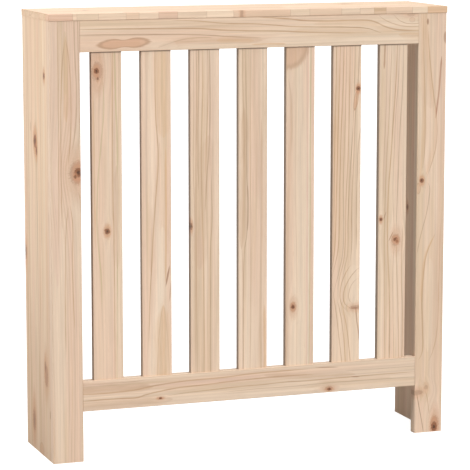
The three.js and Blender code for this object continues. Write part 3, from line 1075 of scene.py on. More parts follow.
SIDE_STAVES = Staves(width=0.100, edge=-0.0970, tone=0.5)
TOP_STAVES = Staves(
    width=0.038, edge=-0.114, piece_length=0.29,
    front=(
        (-0.3985, "pink"), (-0.3520, "cream"), (-0.3440, "cream"), (-0.3030, "cream"), (-0.2500, "rosy"),
        (-0.2250, "cream"), (-0.1870, "pink"), (-0.1500, "cream"), (-0.0930, "cream"), (-0.0400, "rosy"),
        (-0.0270, "rosy"), (0.0740, "cream"), (0.1130, "rosy"), (0.1780, "cream"), (0.2160, "cream"),
        (0.2450, "honey"), (0.2700, "rosy"), (0.3250, "cream"), (0.3570, "orange"),
    ),
    tone=0.5,
)
BOARDS = {
    "left_stile": timber(
        Grain.UPRIGHT, Growth(-0.060, 0.020, ring=0.0052, contrast=0.35, seed=3.1),
        Feature(LIVE_KNOT, -344, 547, 36, 46, 0.6),
        Feature(DEAD_KNOT, -344, 548, 16, 18),
        Feature(DEAD_KNOT, -350, 540, 6, 7, 0.8),
        trail(ORANGE, 9, 1.2, (-366, 800), (-366, 730), (-366, 640)),
        trail(OLIVE, 8, 0.8, (-367, 810), (-367, 740), (-366, 690)),
        trail(LATE, 2.2, 0.9, (-366, 795), (-372, 755), (-375, 700), (-377, 560), (-376, 440)),
        trail(LATE, 2.2, 0.9, (-366, 795), (-360, 755), (-357, 700), (-358, 620), (-364, 560)),
        trail(PINK, 16, 1.2, (-388, 900), (-388, 600), (-386, 330)),
        trail(PINK, 18, 1, (-352, 900), (-351, 740), (-352, 620)),
        trail(LATE, 2, 0.7, (-381, 850), (-381, 600), (-383, 400)),
        trail(UMBER, 2.4, 0.8, (-350, 850), (-349, 775), (-346, 690), (-350, 620), (-357, 585)),
        trail(UMBER, 2, 0.8, (-343, 850), (-342, 760), (-341, 640), (-344, 585)),
        trail(UMBER, 1.6, 0.8, (-344, 512), (-341, 495), (-340, 470)),
        trail(LATE, 1.8, 0.8, (-362, 490), (-368, 450), (-370, 400), (-371, 200)),
        trail(LATE, 2, 0.9, (-361, 490), (-356, 450), (-357, 390), (-354, 250)),
        trail(PINK, 7, 0.7, (-361, 480), (-361, 420), (-360, 370)),
        tint=(0.945, 0.935, 0.935),
    ),
    "right_stile": timber(
        Grain.UPRIGHT, Growth(0.060, 0.020, ring=0.0056, contrast=0.3, seed=8.4),
        Feature(DEAD_KNOT, 348.9, 502.5, 9, 10),
        Feature(STAIN, 342, 487, 10, 22, 0.7),
        Feature(LIVE_KNOT, 344, 81, 26, 11, 0.6, lean=0.3),
        Feature(LIVE_KNOT, 363.5, 91, 9, 10, 0.45),
        Feature(LIVE_KNOT, 382.5, 16, 18, 34, 0.7),
        Feature(DEAD_KNOT, 381.5, 10, 13, 20),
        Feature(STREAK, 357.9, 811, 4, 12, 0.9),
        Feature(STREAK, 396, 780, 8, 20, 0.7),
        trail(CREAM, 9, 0.6, (355, 780), (359, 680), (362, 600), (358, 530)),
        trail(ORANGE, 7, 0.9, (345, 860), (347.5, 736), (350, 666), (352, 605), (347, 526), (344, 500)),
        trail(LATE, 1.8, 0.9, (349, 840), (350.5, 740), (353.5, 666), (355, 605), (354, 560), (350, 522)),
        trail(
            ORANGE, 9, 0.9, (353, 860), (354.5, 790), (363, 708), (375.5, 620), (375.5, 586), (370, 552),
            (355, 508),
        ),
        trail(
            LATE, 2, 0.9, (358, 800), (363, 740), (369, 690), (380, 605), (379, 575), (373, 547),
            (358, 506),
        ),
        trail(RED, 3.4, 1.3, (388, 745), (386, 713), (383.5, 680), (380, 650), (377, 622)),
        trail(
            UMBER, 1.8, 0.9, (357, 500), (365.5, 490), (364.5, 465), (358.5, 432), (352, 409), (346, 386),
            (340, 355),
        ),
        trail(
            LATE, 2.6, 1, (381, 400), (369, 377), (360, 353), (354.8, 316), (352.3, 269), (354.4, 208),
            (355, 168), (350, 152), (338, 143),
        ),
        trail(ORANGE, 5, 0.6, (379, 395), (366, 372), (357.5, 350), (353, 316), (351, 260)),
        trail(LATE, 2.2, 0.9, (390, 420), (388, 300), (385, 199), (378, 166), (369, 146), (360, 139)),
        trail(CREAM, 14, 0.7, (369, 350), (370, 260), (366, 160)),
        trail(PINK, 24, 1, (388, 950), (388, 560), (387, 300), (387, 120), (390, -60)),
        trail(LATE, 36, 0.45, (362, 920), (362, 760), (366, 640)),
        trail(DARK, 1.8, 1, (343.7, 79), (348.4, 54), (353.2, 31), (359, 0)),
        trail(LATE, 1.6, 0.8, (362, 84), (366, 70), (369, 50), (371, 36)),
    ),
    "top_rail": timber(
        Grain.LEVEL, Growth(-0.060, 0.020, ring=0.006, waver=0.012, contrast=0.25, seed=5.7),
        Feature(LIVE_KNOT, 825.5, 322.5, 9, 18, 0.45),
        Feature(STAIN, 815, 325, 10, 12, 0.4),
        Feature(STAIN, 783.6, -254, 21.5, 100, 1.15, lean=0.045, waist=0.4),
        trail(
            LATE, 2.4, 1, (811, -360), (809.2, -180), (807.5, -110), (804.5, -70), (802, -30), (799.6, 50),
            (796.5, 100), (791.5, 240),
        ),
        trail(
            UMBER, 2.2, 1, (800.8, -360), (798.8, -200), (797, -130), (794.5, -85), (791.5, -50), (788, 20),
        ),
        trail(
            LATE, 2, 0.9, (824, -165), (821.7, -110), (816.6, -60), (814.3, 0), (811, 40), (807.2, 80),
            (805.7, 120), (803.8, 190), (801.5, 225), (796.5, 246), (789.5, 266),
        ),
        trail(
            UMBER, 1.6, 0.8, (806.4, 90), (804.8, 150), (803, 205), (799.5, 236), (794.5, 250), (789, 266),
        ),
        trail(
            LATE, 2.8, 1, (826, 10), (822, 70), (818.4, 100), (816.4, 150), (816.8, 200), (815.5, 236),
            (811.5, 250), (805.5, 263), (799.5, 280), (796, 300), (794, 345),
        ),
        trail(ORANGE, 9, 0.7, (811, 120), (811, 200), (808, 240), (800, 262), (795, 285)),
        trail(ORANGE, 7, 0.7, (800, 80), (799, 170), (796, 240)),
        trail(CREAM, 9, 0.9, (822, 255), (817, 285), (811, 312), (808, 345)),
        trail(LATE, 1.8, 0.8, (826, 254), (817, 266), (809, 284), (803.5, 305), (802, 345)),
        trail(LATE, 1.6, 0.8, (829, 284), (820, 291), (811, 305), (807.5, 320), (809, 345)),
        trail(LATE, 12, 0.8, (776, -190), (781.5, -160), (786, -130), (785, -90), (784, -40), (783, 20)),
        trail(UMBER, 1.8, 0.7, (773, -190), (781, -168), (788, -140), (790.5, -115), (790, -80)),
        trail(ORANGE, 7, 1, (785, -75), (784.5, -40), (782.5, 2)),
        trail(CREAM, 15, 0.9, (784, 20), (784, 120), (782, 220), (782, 345)),
        trail(CREAM, 13, 0.8, (786, -225), (782, -200), (779, -170), (776, -150)),
        trail(ORANGE, 3, 0.8, (775, -5), (776, 30), (775, 66)),
        trail(ORANGE, 9, 1, (787, 296), (785.5, 318), (784, 380)),
        tint=(0.985, 0.975, 0.965),
    ),
    "bottom_rail": timber(
        Grain.LEVEL, Growth(0.070, 0.020, ring=0.0058, waver=0.012, contrast=0.3, seed=9.2),
        Feature(DEAD_KNOT, 110.5, -187, 4.5, 7.5),
        Feature(LIVE_KNOT, 104.5, 157, 10, 16, 0.5),
        Feature(DEAD_KNOT, 102.5, 157.5, 6.5, 8.5),
        Feature(STREAK, 146, 152, 2.5, 45, 0.6, lean=-0.06),
        Feature(STREAK, 123, 212, 2, 16, 0.7, lean=-0.06),
        trail(
            LATE, 2.4, 1, (129.6, -370), (129.2, -250), (134.8, -205), (138.2, -168), (140.4, -130),
            (141.6, -60), (144.4, -8), (145.4, 40), (145.3, 120),
        ),
        trail(
            LATE, 2.4, 1, (116, -370), (115.6, -260), (114.7, -238), (119.5, -216), (123.6, -190),
            (128.2, -150), (130, -100), (132.5, -50), (134, 0), (135, 60), (134, 130),
        ),
        trail(
            LATE, 2, 0.9, (112.5, -182), (117, -140), (118.6, -100), (121.2, -30), (121.6, 20), (123, 60),
            (122.4, 120), (123.5, 200), (124, 360),
        ),
        trail(UMBER, 1.5, 0.8, (112, -70), (114, 0), (113.6, 80), (115, 160), (113, 360)),
        trail(UMBER, 1.6, 0.8, (147.3, -370), (146.6, -260), (147.2, -215)),
        trail(UMBER, 1.5, 0.7, (137, 190), (135.8, 240), (135.4, 360)),
        trail(LATE, 14, 1.2, (135, -400), (135, -280), (134, -200)),
        trail(LATE, 16, 0.9, (108, -400), (108, -280), (107, -160)),
        trail(PINK, 8, 0.9, (134, -200), (135, -150), (136, -60), (139, 20)),
        trail(LATE, 10, 0.8, (140, 20), (135, 80), (130, 140), (128, 215)),
        trail(LATE, 6, 0.6, (118, 130), (117, 180), (117, 290)),
        trail(CREAM, 9, 0.6, (103, -30), (105, 60), (105, 130)),
        tint=(0.945, 0.935, 0.935),
    ),
    "left_side_panel": timber(
        Grain.UPRIGHT_SIDE, Growth(0.080, 0.020, ring=0.008, contrast=0.35, seed=12.6),
        Feature(DEAD_KNOT, 11, 597, 22, 26),
        Feature(DEAD_KNOT, 2, 580, 11, 20, 0.8),
        Feature(DEAD_KNOT, 90.6, 376, 20, 32, 0.7),
        Feature(LIVE_KNOT, -50, 160, 26, 44, 0.9),
        Feature(DEAD_KNOT, -43, 176, 10, 22, 0.7),
        Feature(LIVE_KNOT, 41, 56, 24, 50),
        Feature(DEAD_KNOT, 41, 54, 10, 36, 0.8),
        Feature(DEAD_KNOT, -57, 724.5, 12, 14, 0.9),
        Feature(STREAK, 42, 622, 7, 18, 0.35),
        Feature(STAIN, -11.4, 10, 30, 26, 0.9),
        Feature(STREAK, -74, 89, 5, 16, 0.7),
        trail(ORANGE, 9, 0.7, (-63, 860), (-62, 600), (-60, 420), (-62, 250)),
        trail(CREAM, 7, 0.7, (-52, 860), (-52, 600), (-50, 480)),
        trail(ORANGE, 6, 0.7, (-42, 860), (-42, 640), (-40, 420), (-41, 300)),
        trail(LATE, 3.5, 0.8, (-32, 760), (-29, 640), (-27, 520), (-24, 380)),
        trail(ORANGE, 12, 0.6, (-16, 860), (-14, 600), (-14, 400), (-13, 250)),
        trail(UMBER, 3, 0.9, (2, 575), (1, 500), (2, 420), (3, 330)),
        trail(UMBER, 3, 0.7, (13, 580), (15, 480), (14, 380), (12, 280)),
        trail(UMBER, 3, 0.6, (-9, 560), (-12, 440), (-12, 250)),
        trail(PINK, 12, 0.7, (36, 860), (37, 500), (38, 200)),
        trail(LATE, 5, 0.7, (58, 860), (60, 500), (62, 200), (62, -60)),
        trail(LATE, 7, 0.6, (80, 600), (78, 300), (76, -60)),
        trail(UMBER, 12, 0.6, (20, 250), (22, 120), (24, -60)),
        trail(UMBER, 9, 0.7, (-30, 150), (-28, 60), (-28, -60)),
        trail(UMBER, 7, 0.6, (54, 300), (55, 100), (55, -60)),
        trail(UMBER, 16, 0.5, (-2, 200), (-3, 100), (-3, -60)),
        # painted shade darkens this panel towards its foot
        staves=SIDE_STAVES, tint=(0.980, 0.950, 0.905), dusty=0.38,
    ),
    "right_side_panel": timber(
        Grain.UPRIGHT_SIDE, Growth(-0.080, 0.020, ring=0.008, contrast=0.4, seed=15.3),
        Feature(LIVE_KNOT, 8.4, 541, 10, 14, 0.8),
        Feature(DEAD_KNOT, 41.8, 431, 10, 13, 0.8),
        Feature(LIVE_KNOT, -40, 270, 14, 20, 0.8),
        trail(LATE, 3.5, 0.8, (-50, 860), (-48, 560), (-44, 300), (-46, -60)),
        trail(UMBER, 2.5, 0.8, (-22, 860), (-20, 620), (-24, 420), (-23, -60)),
        trail(PINK, 16, 0.7, (4, 860), (6, 500), (4, -60)),
        trail(CREAM, 12, 0.7, (30, 860), (32, 400), (30, -60)),
        staves=SIDE_STAVES, tint=(0.940, 0.900, 0.865),
    ),
    "top_board": timber(
        Grain.LEVEL_TOP, Growth(0.0, 0.050, ring=0.0046, contrast=0.65, seed=21.9),
        Feature(LIVE_KNOT, -95, -23.5, 12, 6, 0.55),
        Feature(LIVE_KNOT, 40, 240, 14, 18, 0.8),
        Feature(DEAD_KNOT, 6, -300, 8, 10),
        staves=TOP_STAVES, tint=(1.000, 0.965, 0.930),
    ),
}


def slat(growth: Growth, *marks: Feature | Trail, tint: Sequence[float] = (1.0, 1.0, 1.0)) -> Board:
    """One slat's timber. Only its face is planed, and its narrow sides are darker, partly as sawn wood and
    partly as painted shade between the slats.
    """
    return timber(Grain.UPRIGHT, growth, *marks, tint=tint, sawn=0.56)


SLATS = (
    slat(
        Growth(0.060, 0.020, ring=0.006, waver=0.016, contrast=0.3, seed=31),
        Feature(LIVE_KNOT, -305.8, 733, 22, 38, 0.6),
        Feature(DEAD_KNOT, -307, 734, 10, 11),
        Feature(DEAD_KNOT, -304.5, 720, 4, 7, 0.7),
        Feature(DEAD_KNOT, -288.6, 435, 11, 12),
        trail(PINK, 10, 0.8, (-277, 800), (-277, 600), (-276, 120)),
        trail(LATE, 2.4, 0.9, (-275.5, 800), (-276.5, 700), (-277, 500), (-275.5, 400), (-276, 110)),
        trail(OLIVE, 3, 1, (-273, 800), (-271, 700), (-268, 600), (-268.5, 530)),
        trail(LATE, 8, 0.9, (-270, 560), (-269.5, 480), (-270, 420), (-269, 360)),
        trail(OLIVE, 2.4, 0.8, (-269, 400), (-271, 250), (-272, 100)),
        trail(
            OLIVE, 2.4, 0.9, (-297, 726), (-293.5, 690), (-293.5, 662), (-299, 600), (-307, 510),
            (-308, 440), (-305, 395), (-301, 350), (-300, 280),
        ),
        trail(ORANGE, 3, 0.7, (-315, 715), (-314, 680), (-313, 600), (-312, 400)),
        tint=(0.975, 0.97, 0.965),
    ),
    slat(
        Growth(-0.060, 0.020, ring=0.0066, waver=0.014, contrast=0.25, seed=37),
        Feature(STREAK, -170.8, 344, 3.4, 36, 0.9, lean=0.2),
        Feature(STREAK, -165.5, 316, 3, 40, 0.5, lean=0.1),
        trail(
            CREAM, 15, 1, (-202, 800), (-202, 600), (-201, 520), (-192, 430), (-187, 390), (-186, 340),
            (-190, 300), (-197, 250), (-203, 100),
        ),
        trail(CREAM, 14, 0.8, (-181, 440), (-180, 360), (-184, 290)),
        trail(ORANGE, 24, 0.85, (-182, 775), (-182, 700), (-180, 660), (-178, 604)),
        trail(
            LATE, 2, 1, (-193.5, 800), (-193, 650), (-188.5, 570), (-193, 500), (-198.5, 430), (-202, 370),
            (-206, 300), (-209, 200),
        ),
        trail(LATE, 8, 0.7, (-186, 600), (-188, 560), (-193, 500), (-198.5, 430), (-204, 350)),
        trail(ORANGE, 3.6, 1, (-173.5, 590), (-173.5, 450), (-175, 330)),
        trail(PINK, 9, 0.8, (-168, 600), (-168, 400), (-166, 250), (-165, 100)),
        trail(ORANGE, 24, 1.5, (-179.5, 292), (-180.5, 250), (-180.5, 200), (-180.5, -60)),
        trail(LATE, 1.8, 0.5, (-179.8, 291), (-186, 255), (-190, 205), (-192, 100)),
        trail(LATE, 1.8, 0.4, (-179.2, 291), (-174, 255), (-170, 205), (-168, 100)),
        trail(PINK, 6, 0.8, (-216, 420), (-216, 300), (-216, 100)),
    ),
    slat(
        Growth(0.060, 0.020, ring=0.0058, waver=0.014, contrast=0.3, seed=41),
        Feature(DEAD_KNOT, -124, 436, 6, 14, 0.9),
        trail(UMBER, 1.6, 0.8, (-119, 800), (-118, 650), (-119.5, 560), (-117, 450), (-117, 120)),
        trail(LATE, 1.8, 0.8, (-114, 800), (-112, 700), (-114, 540), (-114, 440), (-112, 120)),
        trail(UMBER, 2.2, 1, (-109, 800), (-108, 700), (-109.5, 640), (-110, 560), (-109, 500)),
        trail(LATE, 1.8, 0.9, (-101, 800), (-100.5, 690), (-103, 590), (-102, 480), (-99, 340), (-99, 100)),
        trail(LATE, 1.8, 0.8, (-91, 800), (-90, 680), (-93, 600), (-96, 520)),
        trail(UMBER, 2.2, 1, (-87.5, 800), (-86, 700), (-86, 640), (-88, 585), (-93, 520), (-96, 460)),
        trail(LATE, 26, 0.6, (-88, 610), (-96, 520), (-102, 460), (-106, 400), (-107, 350)),
        trail(UMBER, 2, 1, (-84, 540), (-82.5, 480), (-82.5, 440), (-85, 400), (-86, 300), (-86, 100)),
        trail(PINK, 10, 0.8, (-108, 420), (-106, 390), (-105, 350)),
        trail(CREAM, 6, 0.8, (-71, 800), (-71, 400), (-71, 100)),
        tint=(0.975, 0.965, 0.97),
    ),
    slat(
        Growth(-0.060, 0.020, ring=0.006, waver=0.014, contrast=0.25, seed=43),
        trail(UMBER, 1.8, 0.9, (-21, 800), (-20, 690), (-18, 620), (-18, 540)),
        trail(
            UMBER, 1.8, 0.9, (-15, 800), (-14, 690), (-12.5, 620), (-12.2, 540), (-10.5, 470), (-12, 420),
            (-17, 380), (-19, 320), (-18, 100),
        ),
        trail(LATE, 12, 1, (-18, 660), (-18.5, 560), (-20, 480), (-22, 420), (-23, 385)),
        trail(UMBER, 2.2, 1, (-11, 510), (-9.5, 470), (-11, 420)),
        trail(PINK, 20, 0.9, (4, 800), (5, 640), (6, 480)),
        trail(LATE, 1.5, 0.7, (-6, 800), (-5, 560), (-4, 400), (-6, 100)),
        trail(LATE, 5, 0.5, (17, 640), (18, 450), (16, 300), (18, 100)),
        trail(ORANGE, 5, 0.8, (23, 280), (24.5, 200), (24, 90)),
        trail(UMBER, 1.6, 0.8, (-23, 400), (-20, 330), (-21, 100)),
        tint=(0.985, 0.98, 0.985),
    ),
    slat(
        Growth(0.070, 0.020, ring=0.0075, waver=0.014, contrast=0.15, seed=47),
        Feature(LIVE_KNOT, 82.4, 268.4, 14, 20, 0.6),
        Feature(DEAD_KNOT, 82.2, 269, 8, 9),
        Feature(STAIN, 70, 772, 82, 90, 0.85),
        trail(
            LATE, 6, 1, (69, 716), (73, 700), (76.5, 670), (77.5, 615), (74.5, 550), (72.5, 480),
            (70.5, 400), (69, 300), (68, 120),
        ),
        trail(PINK, 4, 1, (111.2, 800), (111.5, 450), (111.5, 100)),
        trail(OLIVE, 2.4, 1, (117.4, 800), (116.5, 600), (117, 400), (115.5, 100)),
        trail(CREAM, 2.6, 1, (114.2, 800), (114, 400), (113.4, 100)),
        trail(PINK, 4, 0.9, (121, 800), (120.5, 400), (119, 100)),
        trail(LATE, 1.5, 0.4, (88, 700), (87, 480), (90, 330), (89, 100)),
        tint=(0.975, 0.98, 0.98),
    ),
    slat(
        Growth(0.070, 0.020, ring=0.007, waver=0.014, contrast=0.2, seed=53),
        Feature(DEAD_KNOT, 215, 686, 9.5, 9.5),
        Feature(STAIN, 210.5, 664, 9, 40, lean=0.15),
        Feature(LIVE_KNOT, 213, 260, 26, 8.5, 0.65),
        Feature(STREAK, 211, 259, 14, 3, 0.6),
        trail(ORANGE, 9, 0.8, (169, 640), (168, 540), (167.5, 450), (165, 350)),
        trail(LATE, 1.8, 0.9, (169.5, 800), (168.7, 700), (167.5, 620), (166.5, 550), (166, 430)),
        trail(
            LATE, 2.2, 1, (177.5, 800), (176, 700), (173.5, 600), (171.5, 500), (170, 420), (167.5, 370),
            (161, 330),
        ),
        trail(
            LATE, 2.2, 1, (185.5, 800), (183, 680), (180, 600), (178, 500), (177.5, 430), (175.5, 380),
            (170, 350), (161, 318),
        ),
        trail(
            UMBER, 1.8, 0.9, (190.5, 800), (189.5, 700), (187.5, 600), (185.5, 500), (186.5, 420),
            (185.5, 375), (178, 335), (169, 300), (165, 280),
        ),
        trail(
            LATE, 1.8, 0.9, (198, 800), (196.5, 650), (194.5, 550), (191, 470), (190.5, 400), (188, 360),
            (180, 325), (173, 290),
        ),
        trail(
            UMBER, 2, 0.9, (208, 800), (207, 700), (204.5, 610), (199, 520), (195.5, 430), (195, 370),
            (188, 335), (182, 300),
        ),
        trail(
            UMBER, 2.4, 1, (217, 800), (216, 740), (214.5, 700), (211, 660), (208.5, 620), (206.5, 550),
            (203, 450), (203.5, 380), (199, 345),
        ),
        trail(UMBER, 2, 0.9, (223, 620), (217, 585), (214, 520), (213, 440), (214, 370)),
        trail(CREAM, 28, 0.8, (209, 345), (206, 305), (207, 258)),
        trail(
            LATE, 2.2, 0.9, (223, 340), (208, 328), (194, 308), (187, 287), (189.5, 270), (199, 261),
            (213, 257),
        ),
        trail(LATE, 2, 0.9, (203, 345), (188, 322), (180.5, 295), (182.5, 270), (193, 256)),
        trail(LATE, 1.6, 0.8, (218, 318), (206, 308), (199, 292), (199, 276), (206, 268)),
        trail(LATE, 1.8, 0.9, (165, 295), (172, 252), (178, 205), (186, 140), (190, 100)),
        trail(LATE, 1.8, 0.9, (174, 278), (184, 232), (191, 170), (195, 100)),
        trail(LATE, 1.8, 0.9, (184, 266), (194, 222), (201, 165), (205, 100)),
        trail(DARK, 2.4, 1, (213, 262), (215, 238), (219.5, 208), (221, 190)),
        tint=(1.0, 0.985, 0.975),
    ),
    slat(
        Growth(-0.070, 0.020, ring=0.0064, waver=0.014, contrast=0.25, seed=59),
        Feature(DEAD_KNOT, 264.2, 430, 6.8, 8),
        Feature(LIVE_KNOT, 296.2, 388, 18, 24, 0.6),
        Feature(DEAD_KNOT, 295.8, 389.5, 11, 8),
        Feature(LIVE_KNOT, 299, 385, 6, 6, 0.9),
        Feature(STREAK, 286, 396, 2, 18, 0.8, lean=0.5),
        Feature(STREAK, 273, 438, 2, 14, 0.6, lean=0.3),
        trail(RED, 3.2, 1, (270, 800), (269.5, 755), (268, 720)),
        trail(
            LATE, 2.4, 1, (296, 800), (294, 715), (291, 660), (287, 600), (283.5, 540), (280, 490),
            (278.5, 430), (279.5, 370), (283, 300), (285, 100),
        ),
        trail(
            UMBER, 1.8, 0.8, (301, 800), (298.5, 700), (294, 640), (291, 560), (289.5, 480), (291.5, 430),
            (294.5, 395),
        ),
        trail(UMBER, 2, 0.9, (309, 800), (307, 680), (302.5, 600), (300, 520), (297.5, 440), (296.5, 392)),
        trail(
            LATE, 1.8, 0.8, (284, 800), (282, 700), (279, 620), (275, 540), (273, 470), (272, 400),
            (273, 300), (276, 100),
        ),
        trail(UMBER, 1.8, 0.8, (274, 800), (273, 640), (270, 560), (268.5, 450)),
        trail(LATE, 1.8, 0.9, (297, 390), (298.5, 340), (302, 260), (306, 100)),
        trail(UMBER, 1.6, 0.8, (294.5, 390), (291, 330), (292, 250), (296, 100)),
        trail(LATE, 2.2, 0.8, (311, 420), (309, 320), (312, 240), (311, 100)),
        trail(PINK, 8, 0.6, (277, 800), (275, 640), (270, 480)),
    ),
)


# The cabinet's sub-assemblies


@dataclass(frozen=True)
class Fitting:
    """A round thing that goes into a hole: its room in the cabinet and the hole's radius."""

    box: Box
    hole_radius: float


@dataclass
class Joinery:
    """Shapes the boards: planed stock with rounded arrises, bored for what goes into it."""

    arris: float = 1.1 * MM
    arris_steps: int = 4
    eased_end: float = 0.2 * MM
    eased_steps: int = 2
    bore_steps: int = 32
    bore_end_space: float = 1.0 * MM
    mortise_fit: float = 0.2 * MM

    ALIGNED = 0.99  # how much of a direction's length lies along the axis that it is said to follow

    def stock(self, name: str, box: Box, along: int) -> Piece:
        """Planes a board to its box, with its long edges rounded and its ends eased."""
        shape = bmesh.new()
        bmesh.ops.create_cube(shape, size=1.0)
        bmesh.ops.scale(shape, vec=box.size, verts=shape.verts)
        bmesh.ops.translate(shape, vec=box.centre, verts=shape.verts)
        long_edges = [edge for edge in shape.edges if self._runs(edge, along)]
        self._round(shape, long_edges, self.arris, self.arris_steps)
        ends = [face for face in shape.faces if abs(face.normal[along]) > self.ALIGNED]
        rim = dict.fromkeys(edge for face in ends for edge in face.edges)  # each edge once, in order
        self._round(shape, rim, self.eased_end, self.eased_steps)
        return moulded(name, shape)

    def _runs(self, edge: bmesh.types.BMEdge, along: int) -> bool:
        """Tells whether an edge runs along an axis."""
        start, end = (vert.co for vert in edge.verts)
        return abs((end - start).normalized()[along]) > self.ALIGNED

    @staticmethod
    def _round(
        shape: bmesh.types.BMesh, edges: Iterable[bmesh.types.BMEdge], radius: float, steps: int
    ) -> None:
        """Rounds some edges of a shape."""
        bmesh.ops.bevel(shape, geom=list(edges), offset=radius, segments=steps, profile=0.5, affect="EDGES")
        bmesh.ops.recalc_face_normals(shape, faces=shape.faces)

    def cut(self, board: Piece, box: Box, fittings: Iterable[Fitting], tenons: Iterable[Box]) -> Piece:
        """Bores and mortises a board.

        Args:
            board: The board.
            box: Its room in the cabinet.
            fittings: The cabinet's round fittings. Those that reach into the board get a hole.
            tenons: The cabinet's tenons. Those that reach into the board get a mortise.

        Returns:
            The same board, cut and shaded.
        """
        cutter = bmesh.new()
        for fitting in fittings:
            if fitting.box.meets(box):
                self._add_bore(cutter, fitting)
        for tenon in tenons:
            if tenon.meets(box):
                self._add_mortise(cutter, tenon)
        tool = moulded("cutter", cutter)
        holes = board.modifiers.new("holes", "BOOLEAN")
        holes.operation = "DIFFERENCE"
        holes.solver = "EXACT"
        holes.object = tool
        made_plain(board)
        bpy.data.objects.remove(tool)
        return shade(board)

    def _add_bore(self, cutter: bmesh.types.BMesh, fitting: Fitting) -> None:
        """Adds the round hole of a fitting to a cutter."""
        box = fitting.box
        turn = unit(2).rotation_difference(unit(box.long_axis))
        bmesh.ops.create_cone(
            cutter, cap_ends=True, segments=self.bore_steps, radius1=fitting.hole_radius,
            radius2=fitting.hole_radius, depth=max(box.size) + 2 * self.bore_end_space,
            matrix=Matrix.Translation(box.centre) @ turn.to_matrix().to_4x4(),
        )

    def _add_mortise(self, cutter: bmesh.types.BMesh, tenon: Box) -> None:
        """Adds the mortise of a tenon to a cutter."""
        room = Vector((self.mortise_fit, self.mortise_fit, self.bore_end_space)) * 2
        sizes = Matrix.Diagonal((*(tenon.size + room), 1.0))
        bmesh.ops.create_cube(cutter, size=1.0, matrix=Matrix.Translation(tenon.centre) @ sizes)


def settle(piece: Piece, nodes: Sequence[str], material: Material | None = None) -> None:
    """Puts a finished piece in the place of pieces of the construction.

    Args:
        piece: The piece.
        nodes: The pieces of the construction that it stands for.
        material: Its material, where its mesh has none yet.
    """
    if material:
        piece.data.materials.clear()
        piece.data.materials.append(material)
    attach(piece, BODY)
    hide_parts(*nodes)
    LOG.info("%s stands for %d of the construction's pieces", piece.name, len(nodes))


@dataclass
class Boards:
    """The seven boards of the case: its frame, side panels and top."""

    shop: PineShop
    fittings: Sequence[Fitting]
    tenons: Sequence[Box]
    joinery: Joinery = field(default_factory=Joinery)

    def build(self) -> None:
        """Makes every board, bores it and dresses it."""
        for node, board in BOARDS.items():
            box = Box.of(node)
            piece = self.joinery.stock(f"{node}_timber", box, board.grain.value[2])
            self.joinery.cut(piece, box, self.fittings, self.tenons)
            material = self.shop.material(node, board, box, PineTones())
            settle(piece, [node], material)


@dataclass
class SlatRow:
    """The upright slats, repeated along the front and let into the two rails."""

    shop: PineShop
    boards: Sequence[Board] = SLATS
    arris: float = 1.1 * MM
    arris_steps: int = 3
    tenon_width: float = 42 * MM
    tenon_thickness: float = 7 * MM
    tenon_length: float = 12 * MM

    def __post_init__(self) -> None:
        """Names the slats that the row stands for, and the tree's input for the timber of each."""
        numbers = range(1, len(self.boards) + 1)
        self.nodes = [f"slat_{number}" for number in numbers]
        self.inputs = [f"Timber_{number}" for number in numbers]

    def tenons(self) -> list[Box]:
        """The room of the tenons on both ends of every slat."""
        made = []
        for node in self.nodes:
            box = Box.of(node)
            half = Vector((self.tenon_width, self.tenon_thickness, self.tenon_length)) / 2
            for end in (box.low.z + half.z, box.high.z - half.z):
                middle = Vector((box.centre.x, box.centre.y, end))
                made.append(Box(middle - half, middle + half))
        return made

    def _tree(self) -> Tree:
        """Grows the row: a slat with its tenons, repeated at the pitch, each in its own timber."""
        recipe = NodeRecipe("Row of slats", "GeometryNodeTree")
        w = recipe.wiring
        _, slats, steps, first, pitch, width, thickness, length, arris, *rest = recipe.takes(
            geometry="Ground", count="Slats Arris_Steps", vector="First_Middle Pitch",
            value="Width Thickness Length Arris Tenon_Width Tenon_Thickness Tenon_Length",
            finish=" ".join(self.inputs),
        )
        tenon_width, tenon_thickness, tenon_length, *timbers = rest
        stick = w.bar(width, thickness, w.less(w.over(length, 2.0), tenon_length), arris, steps)
        slat_shape = w.joined("UNION", stick, w.block(tenon_width, tenon_thickness, length))
        numbered = w.first(
            "GeometryNodeStoreNamedAttribute", data_type="INT", domain="POINT",
            Geometry=w.row(slats, first, pitch), Name="slat", Value=w.first("GeometryNodeInputIndex"),
        )
        shape = w.repeated(numbered, slat_shape)
        which = w.named("slat", "INT")
        for index, pine in enumerate(timbers):
            own = w.first(
                "FunctionNodeCompare", None, None, which, index, data_type="INT", operation="EQUAL",
            )
            shape = w.dressed(shape, pine, own)
        return recipe.gives(Row=shape)

    def build(self) -> None:
        """Grows the row and dresses each slat in its own timber."""
        boxes = [Box.of(node) for node in self.nodes]
        pine = [
            # the top shoulder, below which a painted shadow line is drawn
            self.shop.material(node, board, box, PineTones(), box.high.z - self.tenon_length)
            for node, board, box in zip(self.nodes, self.boards, boxes)
        ]
        first, last = boxes[0], boxes[-1]
        row = grown(
            "slat_row", self._tree(), self, Slats=len(boxes), First_Middle=first.centre,
            Pitch=(last.centre - first.centre) / (len(boxes) - 1), Width=first.size.x,
            Thickness=first.size.y, Length=first.size.z, **dict(zip(self.inputs, pine)),
        )
        row.data.attributes.remove(row.data.attributes["slat"])
        settle(shade(row), self.nodes)


